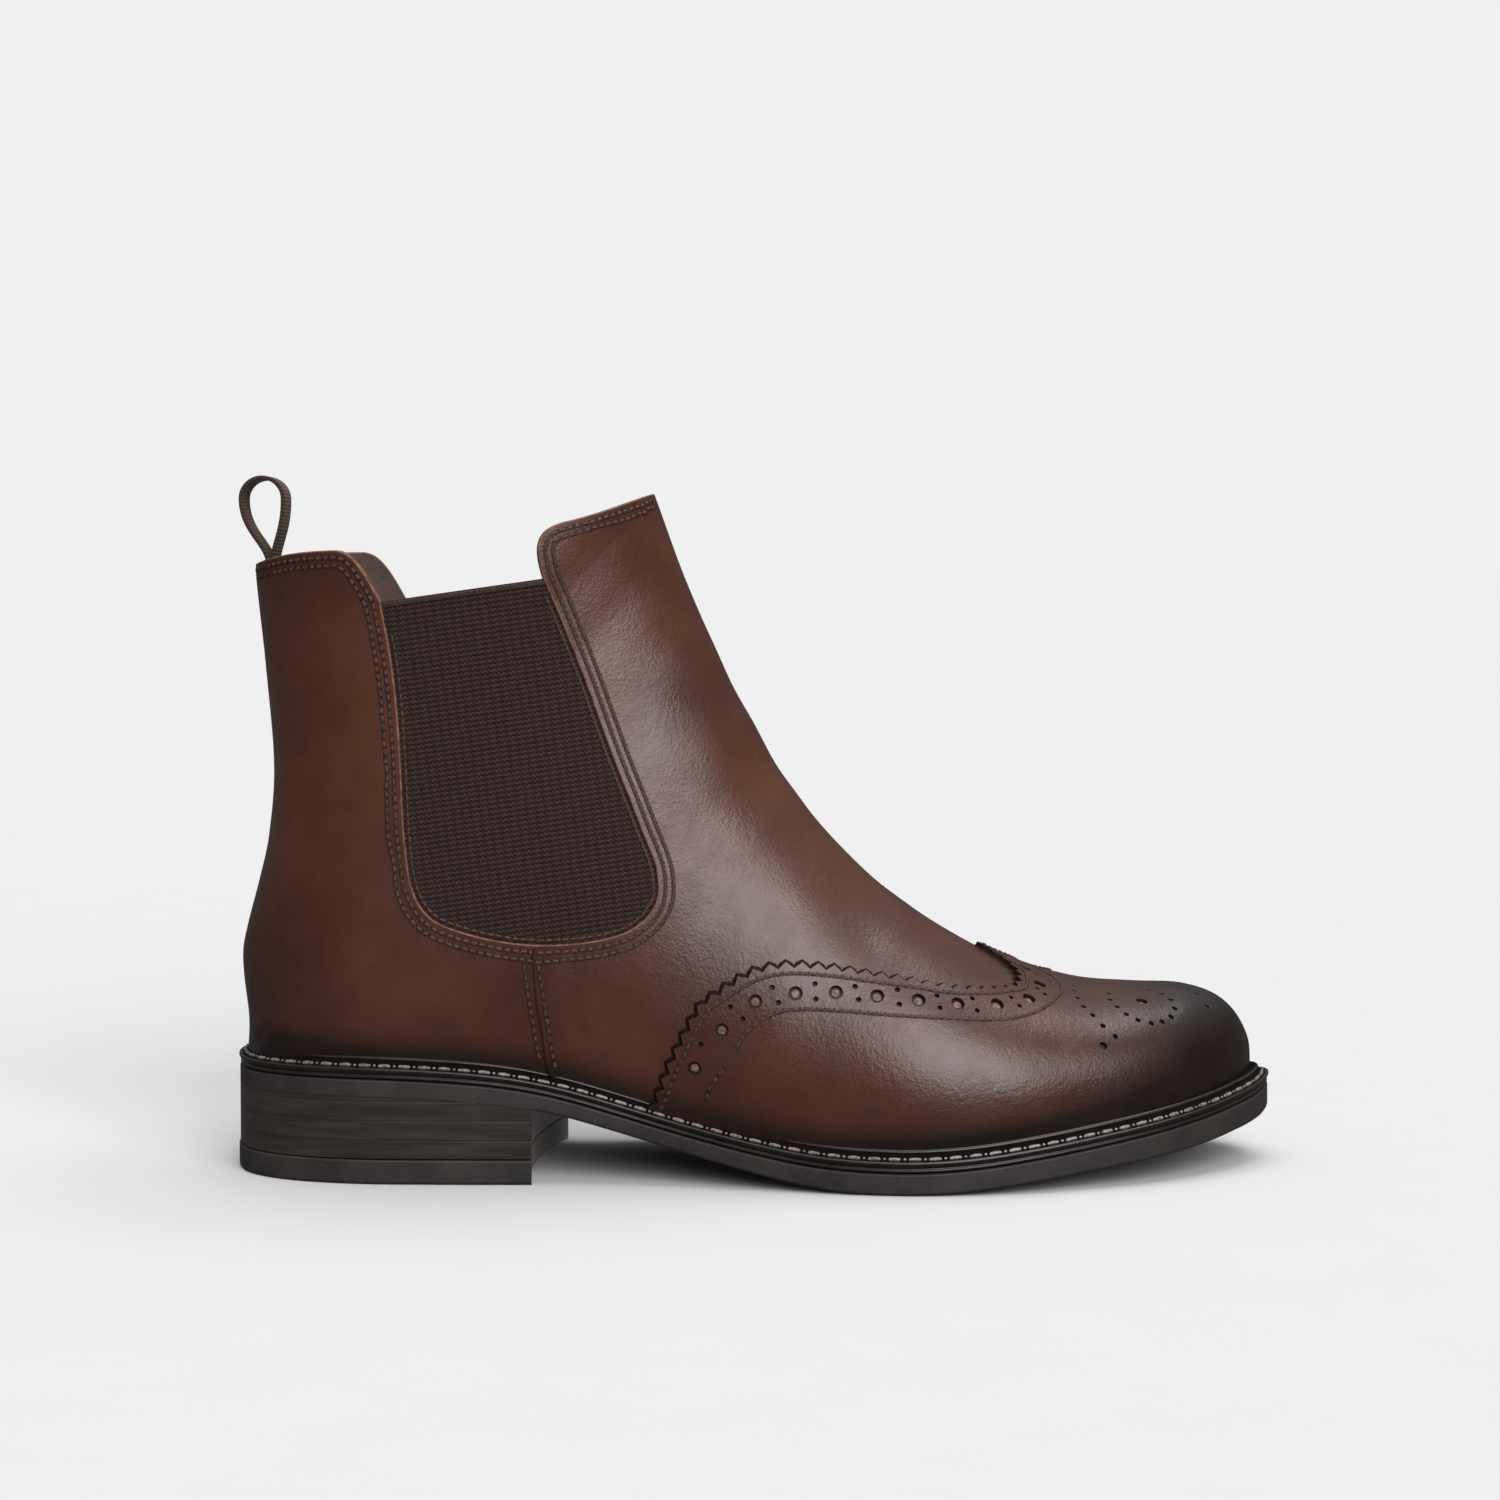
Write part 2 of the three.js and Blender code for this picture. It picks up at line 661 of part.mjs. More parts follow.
// What the wing cap covers: the wings below their edge in side view, and the toe in front of the peak
function wingCut(grow) {
  const points = wingRows.map((row) => new THREE.Vector3(lastX(row.along), row.up * instepHeight, 0));
  const curve = new THREE.CatmullRomCurve3(points, false, 'centripetal');
  const side = new THREE.Shape();
  const dense = curve.getPoints(wingRows.length * 2);
  side.moveTo(dense[0].x - grow, -soleLength);
  dense.forEach((point) => side.lineTo(point.x - grow, point.y + grow));
  side.lineTo(soleLength, dense[dense.length - 1].y + grow);
  side.lineTo(soleLength, -soleLength);
  side.closePath();
  const middle = peakSwing * ballWidth;
  const plan = new THREE.Shape();
  const sides = [...peakRows].reverse().map((row) => [-row.across, row.along])
    .concat(peakRows.slice(1).map((row) => [row.across, row.along]));
  plan.moveTo(soleLength, middle + sides[0][0] * ballWidth);
  sides.forEach(([across, along]) => plan.lineTo(lastX(along) - grow, middle + across * ballWidth));
  plan.lineTo(soleLength, middle - sides[0][0] * ballWidth);
  plan.closePath();
  return sidePrism(side, acrossAll).add(planPrism(plan, 0, overAll));
}

// Upper: one hollow leather shell, open at the collar, at both gores and underneath
function makeUpper() {
  return lastForm(0)
    .subtract(lastForm(-upperWall))
    .subtract(collarCut())
    .subtract(below(seat));
}

// Wing cap: a second layer of leather over the toe
function makeWingCap() {
  return lastForm(seam + capThickness)
    .subtract(lastForm(seam))
    .intersect(wingCut(0))
    .subtract(below(seat));
}

// Gore: a panel of elastic that fills the side opening a little under the leather's face
function makeGore(side) {
  const half = new THREE.BoxGeometry(acrossAll, acrossAll, overAll);
  half.translate(0, (side * acrossAll) / 2, 0);
  return lastForm(-goreRecess)
    .subtract(lastForm(-goreRecess - goreThickness))
    .intersect(goreCut())
    .intersect(solid(half));
}

// Outsole: full length from heel to toe, with a rounded bottom edge
function makeOutsole() {
  const face = inset(outline, weltCove / 3);
  return stack([
    lay(inset(outline, weltCove / 3 + edgeRound), soleBottom),
    lay(face, (x) => soleBottom(x) + edgeRound),
    lay(face, (x) => outsoleTop(x) - edgeRound / 2),
    lay(inset(outline, weltCove), outsoleTop),
  ], false);
}

// Welt: a moulded ring between upper and outsole, with a coved side, a shelf and a raised inner lip
function makeWelt() {
  const shelf = weltExtension - weltLipWidth;
  const hole = inset(outline, (x) => featherInset(x) + upperWall + weltSeat);
  const ring = stack([
    lay(inset(outline, weltCove), weltBottom),
    lay(outline, (x) => weltTop(x) - weltThickness / 3),
    lay(inset(outline, weltCove / 2), weltTop),
    lay(inset(outline, shelf), (x) => weltTop(x) - seam),
    lay(inset(outline, shelf + weltLipWidth / 2), (x) => weltTop(x) + weltLip),
    lay(hole, (x) => weltTop(x) + weltLip),
    lay(hole, weltBottom),
  ], true);
  const upperRoom = lastForm(seam).subtract(below(weltTop));
  const capRoom = lastForm(seam + capLayer).intersect(wingCut(seam)).subtract(below(weltTop));
  return ring.subtract(upperRoom).subtract(capRoom);
}

// Insole: a board on the welt's inner edge, with the bottom filling under it
function makeInsole() {
  const fill = inset(outline, (x) => featherInset(x) + upperWall + weltSeat + seam);
  const board = inset(outline, (x) => featherInset(x) + upperWall + 2 * seam);
  return stack([
    lay(fill, (x) => outsoleTop(x) + seam),
    lay(fill, seat),
    lay(board, seat),
    lay(board, (x) => seat(x) + insoleThickness),
  ], false);
}

// What is cut away in front of the heel, along its hollow breast
function breastCut() {
  const x = breastFromBack - soleLength / 2;
  const shape = new THREE.Shape();
  shape.moveTo(soleLength, -ballWidth);
  shape.lineTo(soleLength, ballWidth);
  shape.lineTo(x + 2 * breastSkew, ballWidth);
  shape.lineTo(x + 2 * breastSkew, breastHalf);
  shape.quadraticCurveTo(x - 2 * breastHollow + breastSkew, 0, x, -breastHalf);
  shape.lineTo(x, -ballWidth);
  shape.closePath();
  return planPrism(shape, -heelHeight, 2 * heelHeight);
}

// Heel: the stacked block and, under it, the separate top lift that meets the floor
function makeHeelStack() {
  const face = inset(outline, weltCove / 2);
  return stack([
    lay(inset(outline, weltCove / 3), () => toplift + seam),
    lay(face, (x) => soleBottom(x) - seam),
  ], false).subtract(breastCut());
}

function makeToplift() {
  return stack([
    lay(inset(outline, edgeRound), () => 0),
    lay(outline, () => edgeRound),
    lay(outline, () => toplift),
  ], false).subtract(breastCut());
}

// Pull loop: a ribbon folded in a teardrop, its two ends sewn inside the back of the collar
function makePullLoop() {
  const foot = collarBackHeight - loopTail;
  const neck = collarBackHeight + seam;
  const loopTop = collarBackHeight + loopRise;
  const neckX = backAt(foot) + upperWall + seam + loopThickness;
  const teardrop = (half, top, waist, end) => {
    const lift = top - half;
    const middle = neckX - loopLean;
    const shape = new THREE.Shape();
    shape.moveTo(neckX - waist, end);
    shape.lineTo(neckX - waist, neck);
    shape.bezierCurveTo(neckX - waist, neck + half, middle - half, lift - 1.6 * half, middle - half, lift);
    shape.absarc(middle, lift, half, Math.PI, 0, true);
    shape.bezierCurveTo(middle + half, lift - 1.6 * half, neckX + waist, neck + half, neckX + waist, neck);
    shape.lineTo(neckX + waist, end);
    shape.closePath();
    return shape;
  };
  const outside = teardrop(loopBulge / 2, loopTop, loopThickness, foot);
  const hole = teardrop(loopBulge / 2 - loopThickness, loopTop - loopThickness, seam / 4, neck - seam);
  const wall = lastForm(seam).subtract(lastForm(-upperWall - seam)).subtract(collarCut());
  return sidePrism(outside, loopWidth).subtract(sidePrism(hole, 2 * loopWidth)).subtract(wall);
}

const boot = new THREE.Group();

function addPiece(name, body, color, roughness) {
  const material = new THREE.MeshStandardMaterial({ color, roughness, metalness: 0, flatShading: true });
  const mesh = new THREE.Mesh(geometryOf(body), material);
  mesh.name = name;
  boot.add(mesh);
}

addPiece('upper', makeUpper(), colours.leather, 0.38);
addPiece('wing_cap', makeWingCap(), colours.leather, 0.36);
addPiece('gore_lateral', makeGore(-1), colours.elastic, 0.85);
addPiece('gore_medial', makeGore(1), colours.elastic, 0.85);
addPiece('pull_loop', makePullLoop(), colours.ribbon, 0.8);
addPiece('insole', makeInsole(), colours.insole, 0.7);
addPiece('welt', makeWelt(), colours.rubber, 0.35);
addPiece('outsole', makeOutsole(), colours.rubber, 0.5);
addPiece('heel_stack', makeHeelStack(), colours.stack, 0.5);
addPiece('heel_toplift', makeToplift(), colours.rubber, 0.6);

export default boot;
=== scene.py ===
import math

import bpy
import numpy as np
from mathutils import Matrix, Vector
from mathutils.geometry import delaunay_2d_cdt


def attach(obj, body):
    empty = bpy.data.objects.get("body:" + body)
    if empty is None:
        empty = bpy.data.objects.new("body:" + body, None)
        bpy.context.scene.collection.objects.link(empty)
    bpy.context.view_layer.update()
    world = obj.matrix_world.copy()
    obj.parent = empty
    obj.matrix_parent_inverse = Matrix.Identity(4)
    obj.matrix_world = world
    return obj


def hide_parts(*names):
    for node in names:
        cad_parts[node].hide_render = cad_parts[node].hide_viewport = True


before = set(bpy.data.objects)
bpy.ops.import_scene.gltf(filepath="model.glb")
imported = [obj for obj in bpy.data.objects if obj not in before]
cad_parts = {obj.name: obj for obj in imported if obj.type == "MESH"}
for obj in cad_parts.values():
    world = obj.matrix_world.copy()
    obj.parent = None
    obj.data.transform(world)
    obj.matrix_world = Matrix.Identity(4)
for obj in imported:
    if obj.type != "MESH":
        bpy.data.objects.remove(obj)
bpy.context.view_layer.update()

scene = bpy.context.scene


# Camera: a long lens at the height of the collar, looking along the outer side of the boot.
# It leans down a little, and the rest of the framing is lens shift, so the boot's uprights stay upright.
camera_lean = 1.75
camera_data = bpy.data.cameras.new("camera")
camera_data.sensor_width = 36
camera_data.lens = 68.53
camera_data.shift_y = -0.056
camera = bpy.data.objects.new("camera", camera_data)
camera.location = (-0.00185, -0.7252, 0.1483)
camera.rotation_euler = (math.radians(90 - camera_lean), 0, 0)
scene.collection.objects.link(camera)
scene.camera = camera


# The last: the form that the upper is stretched on, as a fan of sections from the toe tip round the heel
# and up the leg. A place on it is (at, v): at counts along the rows of sections, and v runs from the
# feather edge (or the back line) up the outer side (0) over the ridge (0.5) down the inner side (1).
def table(names, rows):
    """Rows of numbers as a dictionary of named columns."""
    values = np.array([[float(word) for word in row.split()] for row in rows.strip().splitlines()])
    return dict(zip(names.split(), values.T))


def column(rows, key, name, at):
    """One column of a table, on a smooth curve that never overshoots its rows."""
    k, value = rows[key], rows[name]
    steep = np.diff(value) / np.diff(k)
    before, after = steep[:-1], steep[1:]
    total = np.where(before + after == 0, 1, before + after)
    inner = np.where(before * after > 0, 2 * before * after / total, 0)
    slope = np.concatenate([steep[:1], inner, steep[-1:]])
    at = np.asarray(at, float)
    i = np.clip(np.searchsorted(k[1:], at, side="left"), 0, len(k) - 2)
    span = k[i + 1] - k[i]
    t = np.clip((at - k[i]) / span, 0, 1)
    return (value[i] * (2 * t**3 - 3 * t**2 + 1) + slope[i] * span * (t**3 - 2 * t**2 + t)
            + value[i + 1] * (3 * t**2 - 2 * t**3) + slope[i + 1] * span * (t**3 - t**2))


def curve(points, t, closed=False):
    """Places on a smooth curve through points, at t from 0 to 1."""
    p = np.asarray(points, float)
    n = len(p)
    t = np.asarray(t, float)
    if closed:
        place = (t * n) % n
        i = np.floor(place).astype(int)
        p0, p1, p2, p3 = (p[(i + k) % n] for k in (-1, 0, 1, 2))
    else:
        place = t * (n - 1)
        i = np.clip(np.floor(place).astype(int), 0, n - 2)
        q = np.vstack([2 * p[0] - p[1], p, 2 * p[-1] - p[-2]])
        p0, p1, p2, p3 = (q[i + k] for k in (0, 1, 2, 3))
    w = (place - i)[..., None]
    d0, d1, d2 = (np.maximum(np.linalg.norm(b - a, axis=-1, keepdims=True), 1e-9) ** 0.5
                  for a, b in ((p0, p1), (p1, p2), (p2, p3)))
    t1 = ((p1 - p0) / d0 - (p2 - p0) / (d0 + d1) + (p2 - p1) / d1) * d1
    t2 = ((p2 - p1) / d1 - (p3 - p1) / (d1 + d2) + (p3 - p2) / d2) * d1
    return p1 + t1 * w + (-3 * p1 + 3 * p2 - 2 * t1 - t2) * w**2 + (2 * p1 - 2 * p2 + t1 + t2) * w**3


def smooth(x, low, high):
    """A soft step from 0 at low to 1 at high."""
    t = np.clip((np.asarray(x, float) - low) / (high - low), 0, 1)
    return t * t * (3 - 2 * t)


def walked(points):
    """Length along a line, at each of its points."""
    return np.concatenate([[0], np.cumsum(np.linalg.norm(np.diff(points, axis=0), axis=1))])


def between(s, steps, points):
    """Points given at rising steps, read off at s."""
    return np.stack([np.interp(s, steps, values) for values in points.T], -1)


def unit(vectors):
    return vectors / np.maximum(np.linalg.norm(vectors, axis=-1, keepdims=True), 1e-9)


sole_length, ball_width, toe_swing = 263.5, 88.0, 8.0
instep_height, shaft_height, quarter_height, collar_back = 102.3, 169.6, 154.9, 151.5
heel_height, toe_spring = 21.7, 13.0
outsole_waist, outsole_ball, outsole_toe = 4.1, 5.3, 6.2
welt_thickness, welt_extension = 3.0, 4.6
seam, skirt = 0.3, 4.0
cap_layer = 1.2 + seam
last_length = sole_length - 2 * welt_extension - cap_layer

sole_rows = table("along lateral medial", """
    -0.485 -0.17 0.17
    -0.45 -0.267 0.267
    -0.382 -0.335 0.33
    -0.286 -0.352 0.341
    -0.191 -0.355 0.324
    -0.095 -0.375 0.324
    0 -0.432 0.352
    0.095 -0.492 0.42
    0.172 -0.503 0.48
    0.248 -0.469 0.503
    0.324 -0.392 0.486
    0.382 -0.312 0.441
    0.431 -0.21 0.369
    0.47 -0.097 0.279
    0.492 0 0.182""")
bottom_rows = table("along heel toe", """
    -0.5 1 0
    -0.382 1 0
    -0.286 0.96 0
    -0.213 0.87 0
    -0.175 0.76 0
    -0.106 0.51 0
    -0.038 0.29 0
    0.019 0.12 0
    0.06 0.03 0
    0.092 0 0
    0.174 0 0
    0.21 0 0.085
    0.27 0 0.24
    0.34 0 0.4
    0.425 0 0.62
    0.475 0 0.82
    0.5 0 1""")
thickness_rows = table("along waist ball toe", """
    -0.5 1 0 0
    -0.1 1 0 0
    0.12 0 1 0
    0.25 0 1 0
    0.45 0 0 1
    0.5 0 0 1""")
ridge_rows = table("along instep shaft", """
    0.5 0.25 0
    0.498 0.293 0
    0.485 0.355 0
    0.468 0.392 0
    0.438 0.416 0
    0.39 0.42 0
    0.33 0.432 0
    0.266 0.48 0
    0.198 0.567 0
    0.14 0.664 0
    0.09 0.776 0
    0.05 0.889 0
    0.02 1 0
    -0.029 1 0.342
    -0.069 1 0.682
    -0.1 1 1
    -0.151 1 1.511""")
back_rows = table("up along", """
    -0.03 -0.5
    0.068 -0.505
    0.131 -0.5135
    0.193 -0.516
    0.255 -0.5095
    0.349 -0.4975
    0.442 -0.4875
    0.575 -0.482
    0.786 -0.4895
    1 -0.5
    1.314 -0.509""")
last_rows = table("row ridge bottom bulge half own swing", """
    0 0 0 0 0.4 0 0.091
    1 0.025 0.004 0.004 0.4 0 0.091
    2 0.052 0.019 0.01 0.4 0 0.091
    3 0.079 0.044 0.014 0.4 0 0.091
    4 0.117 0.079 0.018 0.4 0 0.09
    5 0.19 0.152 0.022 0.4 0 0.08
    6 0.28 0.243 0.026 0.4 0 0.065
    7 0.36 0.335 0.03 0.4 0 0.045
    8 0.43 0.43 0.036 0.38 0 0.035
    9 0.5 0.53 0.05 0.37 0.2 0.025
    10 0.565 0.63 0.06 0.36 0.6 0.015
    11 0.63 0.73 0.06 0.357 1 0.008
    12 0.69 0.83 0.06 0.355 1 0.004
    13 0.735 0.91 0.06 0.352 1 0
    14 0.765 0.957 0.06 0.348 1 0
    15 0.79 0.985 0.06 0.344 1 0
    16 0.81 1 0.06 0.342 1 0
    17 0.826 1.05 0.06 0.34 1 0
    18 0.84 1.11 0.06 0.337 1 0
    19 0.854 1.18 0.06 0.334 1 0
    20 0.868 1.26 0.06 0.331 1 0
    21 0.884 1.35 0.06 0.328 1 0
    22 0.908 1.48 0.06 0.325 1 0
    23 0.938 1.64 0.06 0.322 1 0
    24 0.97 1.82 0.06 0.32 1 0
    25 1 2 0.06 0.32 1 0""")
round_rows = table("ridge widest low high", """
    0 0.3 2 2.2
    0.052 0.3 2 2.3
    0.079 0.3 2 2.4
    0.117 0.3 2 2.5
    0.19 0.3 2 2.4
    0.28 0.28 2 2.1
    0.36 0.26 2 1.95
    0.43 0.26 2 1.85
    0.5 0.28 2 1.85
    0.565 0.3 2 1.85
    0.63 0.33 2.1 1.9
    0.69 0.35 2.2 1.95
    0.735 0.37 2.2 1.95
    0.79 0.41 2.2 2
    0.826 0.43 2.2 2
    0.854 0.46 2.15 2
    0.884 0.48 2.1 2.05
    0.908 0.49 2.1 2.05
    0.938 0.5 2.1 2.1
    1 0.5 2.1 2.1""")
top_row = last_rows["row"][-1]
# Each side of a section has its steps up to the widest place and from there to the ridge.
low_steps, high_steps = 4, 9
round_steps = 2 * (low_steps + high_steps)


def last_x(share):
    return share * last_length - cap_layer / 2


def sole_bottom(x):
    """Height of the sole's underside, evened over a few millimetres so that its bends are soft."""
    x = np.asarray(x, float)
    reach = np.clip((sole_length / 2 - abs(x)) / 12, 0, 1)
    total = 0
    for shift in (-12, -8, -4, 0, 4, 8, 12):
        at = (x + shift * reach) / sole_length
        total = (total + heel_height * column(bottom_rows, "along", "heel", at)
                 + toe_spring * column(bottom_rows, "along", "toe", at))
    return total / 7


def outsole_top(x):
    at = np.asarray(x, float) / sole_length
    return (sole_bottom(x) + outsole_waist * column(thickness_rows, "along", "waist", at)
            + outsole_ball * column(thickness_rows, "along", "ball", at)
            + outsole_toe * column(thickness_rows, "along", "toe", at))


def welt_top(x):
    return outsole_top(x) + seam + welt_thickness


def seat(x):
    return welt_top(x) + seam


outer_side, inner_side = (np.stack([sole_rows["along"] * sole_length, sole_rows[side] * ball_width], 1)
                          for side in ("lateral", "medial"))
outline_corners = np.vstack([[[-sole_length / 2, 0]], outer_side, [[sole_length / 2, toe_swing]], inner_side[::-1]])


def outline(count):
    """The sole's outline in plan, from the heel tip along the outer side to the toe and back."""
    return curve(outline_corners, np.arange(count) / count, closed=True)


def inset(loop, distance):
    """A plan loop moved inward by a distance, or by one for each of its points."""
    along = unit(np.roll(loop, -1, 0) - np.roll(loop, 1, 0))
    inward = np.stack([-along[:, 1], along[:, 0]], 1)
    return loop + inward * np.broadcast_to(distance, len(loop))[:, None]


def feather_inset(x):
    return welt_extension + cap_layer * smooth(x, last_x(-0.0937), last_x(0.1))


feather = outline(256)
feather = inset(feather, feather_inset(feather[:, 0]))
feather_sides = feather[:129], np.vstack([feather[:1], feather[:127:-1]])
heel_corner = float(seat(last_x(-0.5))) - skirt
back_top = collar_back + 37


def back_at(z):
    foot = heel_height + outsole_waist + welt_thickness
    return last_x(column(back_rows, "up", "along", (z - foot) / (collar_back - foot)))


ridge_points = np.stack([
    last_x(ridge_rows["along"]),
    ridge_rows["instep"] * instep_height + ridge_rows["shaft"] * (shaft_height - instep_height),
], 1)
ridge_steps = curve(ridge_points, np.linspace(0, 1, 201))
ridge_length = walked(ridge_steps)


def ridge_at(share):
    t = np.interp(np.clip(share, 0, 1) * ridge_length[-1], ridge_length, np.linspace(0, 1, 201))
    return curve(ridge_points, t)


def sharp_ends(at):
    """Lower and upper end of the section at a place, in side view."""
    top = ridge_at(column(last_rows, "row", "ridge", at))
    share = column(last_rows, "row", "bottom", at)
    x = last_x(0.5 - share)
    lean = (top[..., 0] - x) / (top[..., 1] - seat(x))
    z = heel_corner + (back_top - heel_corner) * (share - 1)
    on_foot = share <= 1
    heel_gap = last_x(-0.5) - skirt * lean - back_at(heel_corner)
    up_back = back_at(z) + heel_gap * (1 - smooth(share, 1, 1.06))
    low = np.stack([np.where(on_foot, x - skirt * lean, up_back), np.where(on_foot, seat(x) - skirt, z)], -1)
    return low, top


# The lower ends turn a corner at the heel. It is rounded over two rows, so that no crease runs up from it.
end_steps = np.linspace(0, top_row, 5001)
end_low, end_top = sharp_ends(end_steps)
window = np.hanning(603)[1:-1]
window /= window.sum()
turn_share = (smooth(end_steps, 12.5, 14.5) * (1 - smooth(end_steps, 18, 20)))[:, None]
padded = np.pad(end_low, ((300, 300), (0, 0)), mode="edge")
evened = np.stack([np.convolve(padded[:, k], window, mode="valid") for k in (0, 1)], 1)
end_low = end_low + (evened - end_low) * turn_share


def section_ends(at):
    return between(at, end_steps, end_low), between(at, end_steps, end_top)


def last_point(at, v):
    """The place (at, v) in millimetres."""
    at, v = np.broadcast_arrays(np.asarray(at, float), np.asarray(v, float))
    low, top = section_ends(at)
    row = {name: column(last_rows, "row", name, at) for name in last_rows if name != "row"}
    shape = {name: column(round_rows, "ridge", name, row["ridge"]) for name in ("widest", "low", "high")}
    on_foot = row["bottom"] < 1
    lateral = v <= 0.5
    sign = np.where(lateral, -1.0, 1.0)
    x = last_x(0.5 - row["bottom"])
    edge = np.where(lateral, *(np.interp(x, side[:, 0], side[:, 1]) for side in feather_sides))
    edge = np.where(on_foot, edge, 0)
    swing = row["swing"] * ball_width
    follow = edge + sign * row["bulge"] * ball_width
    reach = follow + (sign * row["half"] * ball_width - follow) * row["own"]
    foot = np.where(on_foot, np.clip((edge - swing) / (reach - swing), 0, 1), 0)
    w = np.where(lateral, v, 1 - v) * round_steps
    u_low = np.cos(np.clip(w / low_steps, 0, 1) * math.pi / 2)
    u_high = np.sin(np.clip((w - low_steps) / high_steps, 0, 1) * math.pi / 2)
    is_low = w < low_steps
    share = np.where(is_low, shape["widest"] * (1 - u_low), shape["widest"] + (1 - shape["widest"]) * u_high)
    full = np.where(is_low,
                    (1 - (1 - foot ** shape["low"]) * u_low ** shape["low"]) ** (1 / shape["low"]),
                    np.maximum(1 - u_high ** shape["high"], 0) ** (1 / shape["high"]))
    place = low + (top - low) * share[..., None]
    return np.stack([place[..., 0], swing + (reach - swing) * full, place[..., 1]], -1)


def last_slopes(at, v):
    """Place, slope along at, slope along v and outward direction."""
    at, v = np.broadcast_arrays(np.asarray(at, float), np.asarray(v, float))
    a0, a1 = np.maximum(at - 0.03, 0), np.minimum(at + 0.03, top_row)
    v0, v1 = np.maximum(v - 0.0015, 0), np.minimum(v + 0.0015, 1)
    along = (last_point(a1, v) - last_point(a0, v)) / (a1 - a0)[..., None]
    around = (last_point(at, v1) - last_point(at, v0)) / (v1 - v0)[..., None]
    return last_point(at, v), along, around, unit(np.cross(around, along))


section_steps = np.linspace(0, top_row, 2501)
section_low, section_top = section_ends(section_steps)


def on_side(points):
    """(at, v) on the outer side for places given in side view as x and z."""
    p = np.asarray(points, float)
    across = section_top - section_low
    gap = (across[:, 0] * (p[:, 1:2] - section_low[:, 1]) - across[:, 1] * (p[:, 0:1] - section_low[:, 0]))
    i = np.clip(np.argmax(gap < 0, axis=1), 1, len(section_steps) - 1)
    rows = np.arange(len(p))
    t = gap[rows, i - 1] / (gap[rows, i - 1] - gap[rows, i])
    at = section_steps[i - 1] + t * (section_steps[i] - section_steps[i - 1])
    low, top = section_ends(at)
    share = np.einsum("ij,ij->i", p - low, top - low) / np.einsum("ij,ij->i", top - low, top - low)
    ridge = column(last_rows, "row", "ridge", at)
    widest = column(round_rows, "ridge", "widest", ridge)
    share = np.clip(share, 0, 1)
    w = np.where(share < widest,
                 low_steps * np.arccos(np.clip(1 - share / widest, -1, 1)) * 2 / math.pi,
                 low_steps + high_steps * np.arcsin(np.clip((share - widest) / (1 - widest), 0, 1)) * 2 / math.pi)
    return np.stack([at, w / round_steps], 1)


def on_top(points):
    """(at, v) for places given in plan as x and y."""
    p = np.asarray(points, float)
    middle = ridge_at(np.linspace(0, 1, 400))
    start = on_side(np.stack([p[:, 0], np.interp(-p[:, 0], -middle[:, 0], middle[:, 1]) - 1], 1))
    at, v = start[:, 0], np.where(p[:, 1] < toe_swing * 0.8, 0.44, 0.56)
    for _ in range(25):
        place, along, around, _ = last_slopes(at, v)
        miss = p - place[:, :2]
        det = along[:, 0] * around[:, 1] - along[:, 1] * around[:, 0]
        det = np.where(abs(det) < 1e-3, 1e-3, det)
        step = np.clip((miss[:, 0] * around[:, 1] - miss[:, 1] * around[:, 0]) / det, -0.5, 0.5)
        at = np.clip(at + step, 0, top_row)
        v = np.clip(v + np.clip((along[:, 0] * miss[:, 1] - along[:, 1] * miss[:, 0]) / det, -0.03, 0.03), 0, 1)
    return np.stack([at, v], 1)


def moved(places, vectors):
    """(at, v) places moved along the face by vectors in millimetres."""
    _, along, around, _ = last_slopes(places[:, 0], places[:, 1])
    aa, ab, bb = (np.einsum("ij,ij->i", p, q) for p, q in ((along, along), (along, around), (around, around)))
    ra, rb = (np.einsum("ij,ij->i", p, vectors) for p in (along, around))
    det = aa * bb - ab * ab
    return places + np.stack([(ra * bb - rb * ab) / det, (rb * aa - ra * ab) / det], 1)


def mirrored(places):
    return places * [1, -1] + [0, 1]


class Line:
    """A line on the face through (at, v) places, walked by its length in millimetres."""

    def __init__(self, places):
        dense = curve(places, np.linspace(0, 1, 40 * len(places)))
        reach = last_point(dense[:, 0], dense[:, 1])
        self.places, self.lengths = dense, walked(reach)
        self.length = self.lengths[-1]

    def at(self, s):
        return between(s, self.lengths, self.places)

    def frame(self, s):
        """Places, directions along the line, to its left and out of the face."""
        ahead, behind = self.at(np.minimum(s + 0.4, self.length)), self.at(np.maximum(s - 0.4, 0))
        here = self.at(s)
        _, _, _, facing = last_slopes(here[:, 0], here[:, 1])
        along = unit(last_point(ahead[:, 0], ahead[:, 1]) - last_point(behind[:, 0], behind[:, 1]))
        return here, along, np.cross(facing, along), facing

    def beside(self, s, distance):
        """Places at a distance to the left of the line."""
        here, _, left, _ = self.frame(np.asarray(s, float))
        return moved(here, left * np.broadcast_to(distance, len(here))[:, None])


# Upper: smooth burnished calf, cut as a front and a back piece and closed over the last, then sewn under the
# gore. Its wear shows as soft dents over the instep and beside the ball, where the foot bends it.
crease_rows = table("x z lean length width depth", """
    -13 118 25 20 5.5 -0.35
    -7 108 30 24 5 0.3
    0 98 35 24 5.5 -0.4
    6 90 42 24 5 0.3
    -24 128 12 18 7 0.3
    -20 96 65 22 8 -0.35
    26 66 62 20 6.5 -0.25
    34 60 66 20 5 0.2
    -33 76 70 16 7 0.3
    -52 40 8 26 8 -0.25
    -104 96 84 26 9 0.3
    -108 70 60 18 8 -0.3""")
crease_share = 0.55


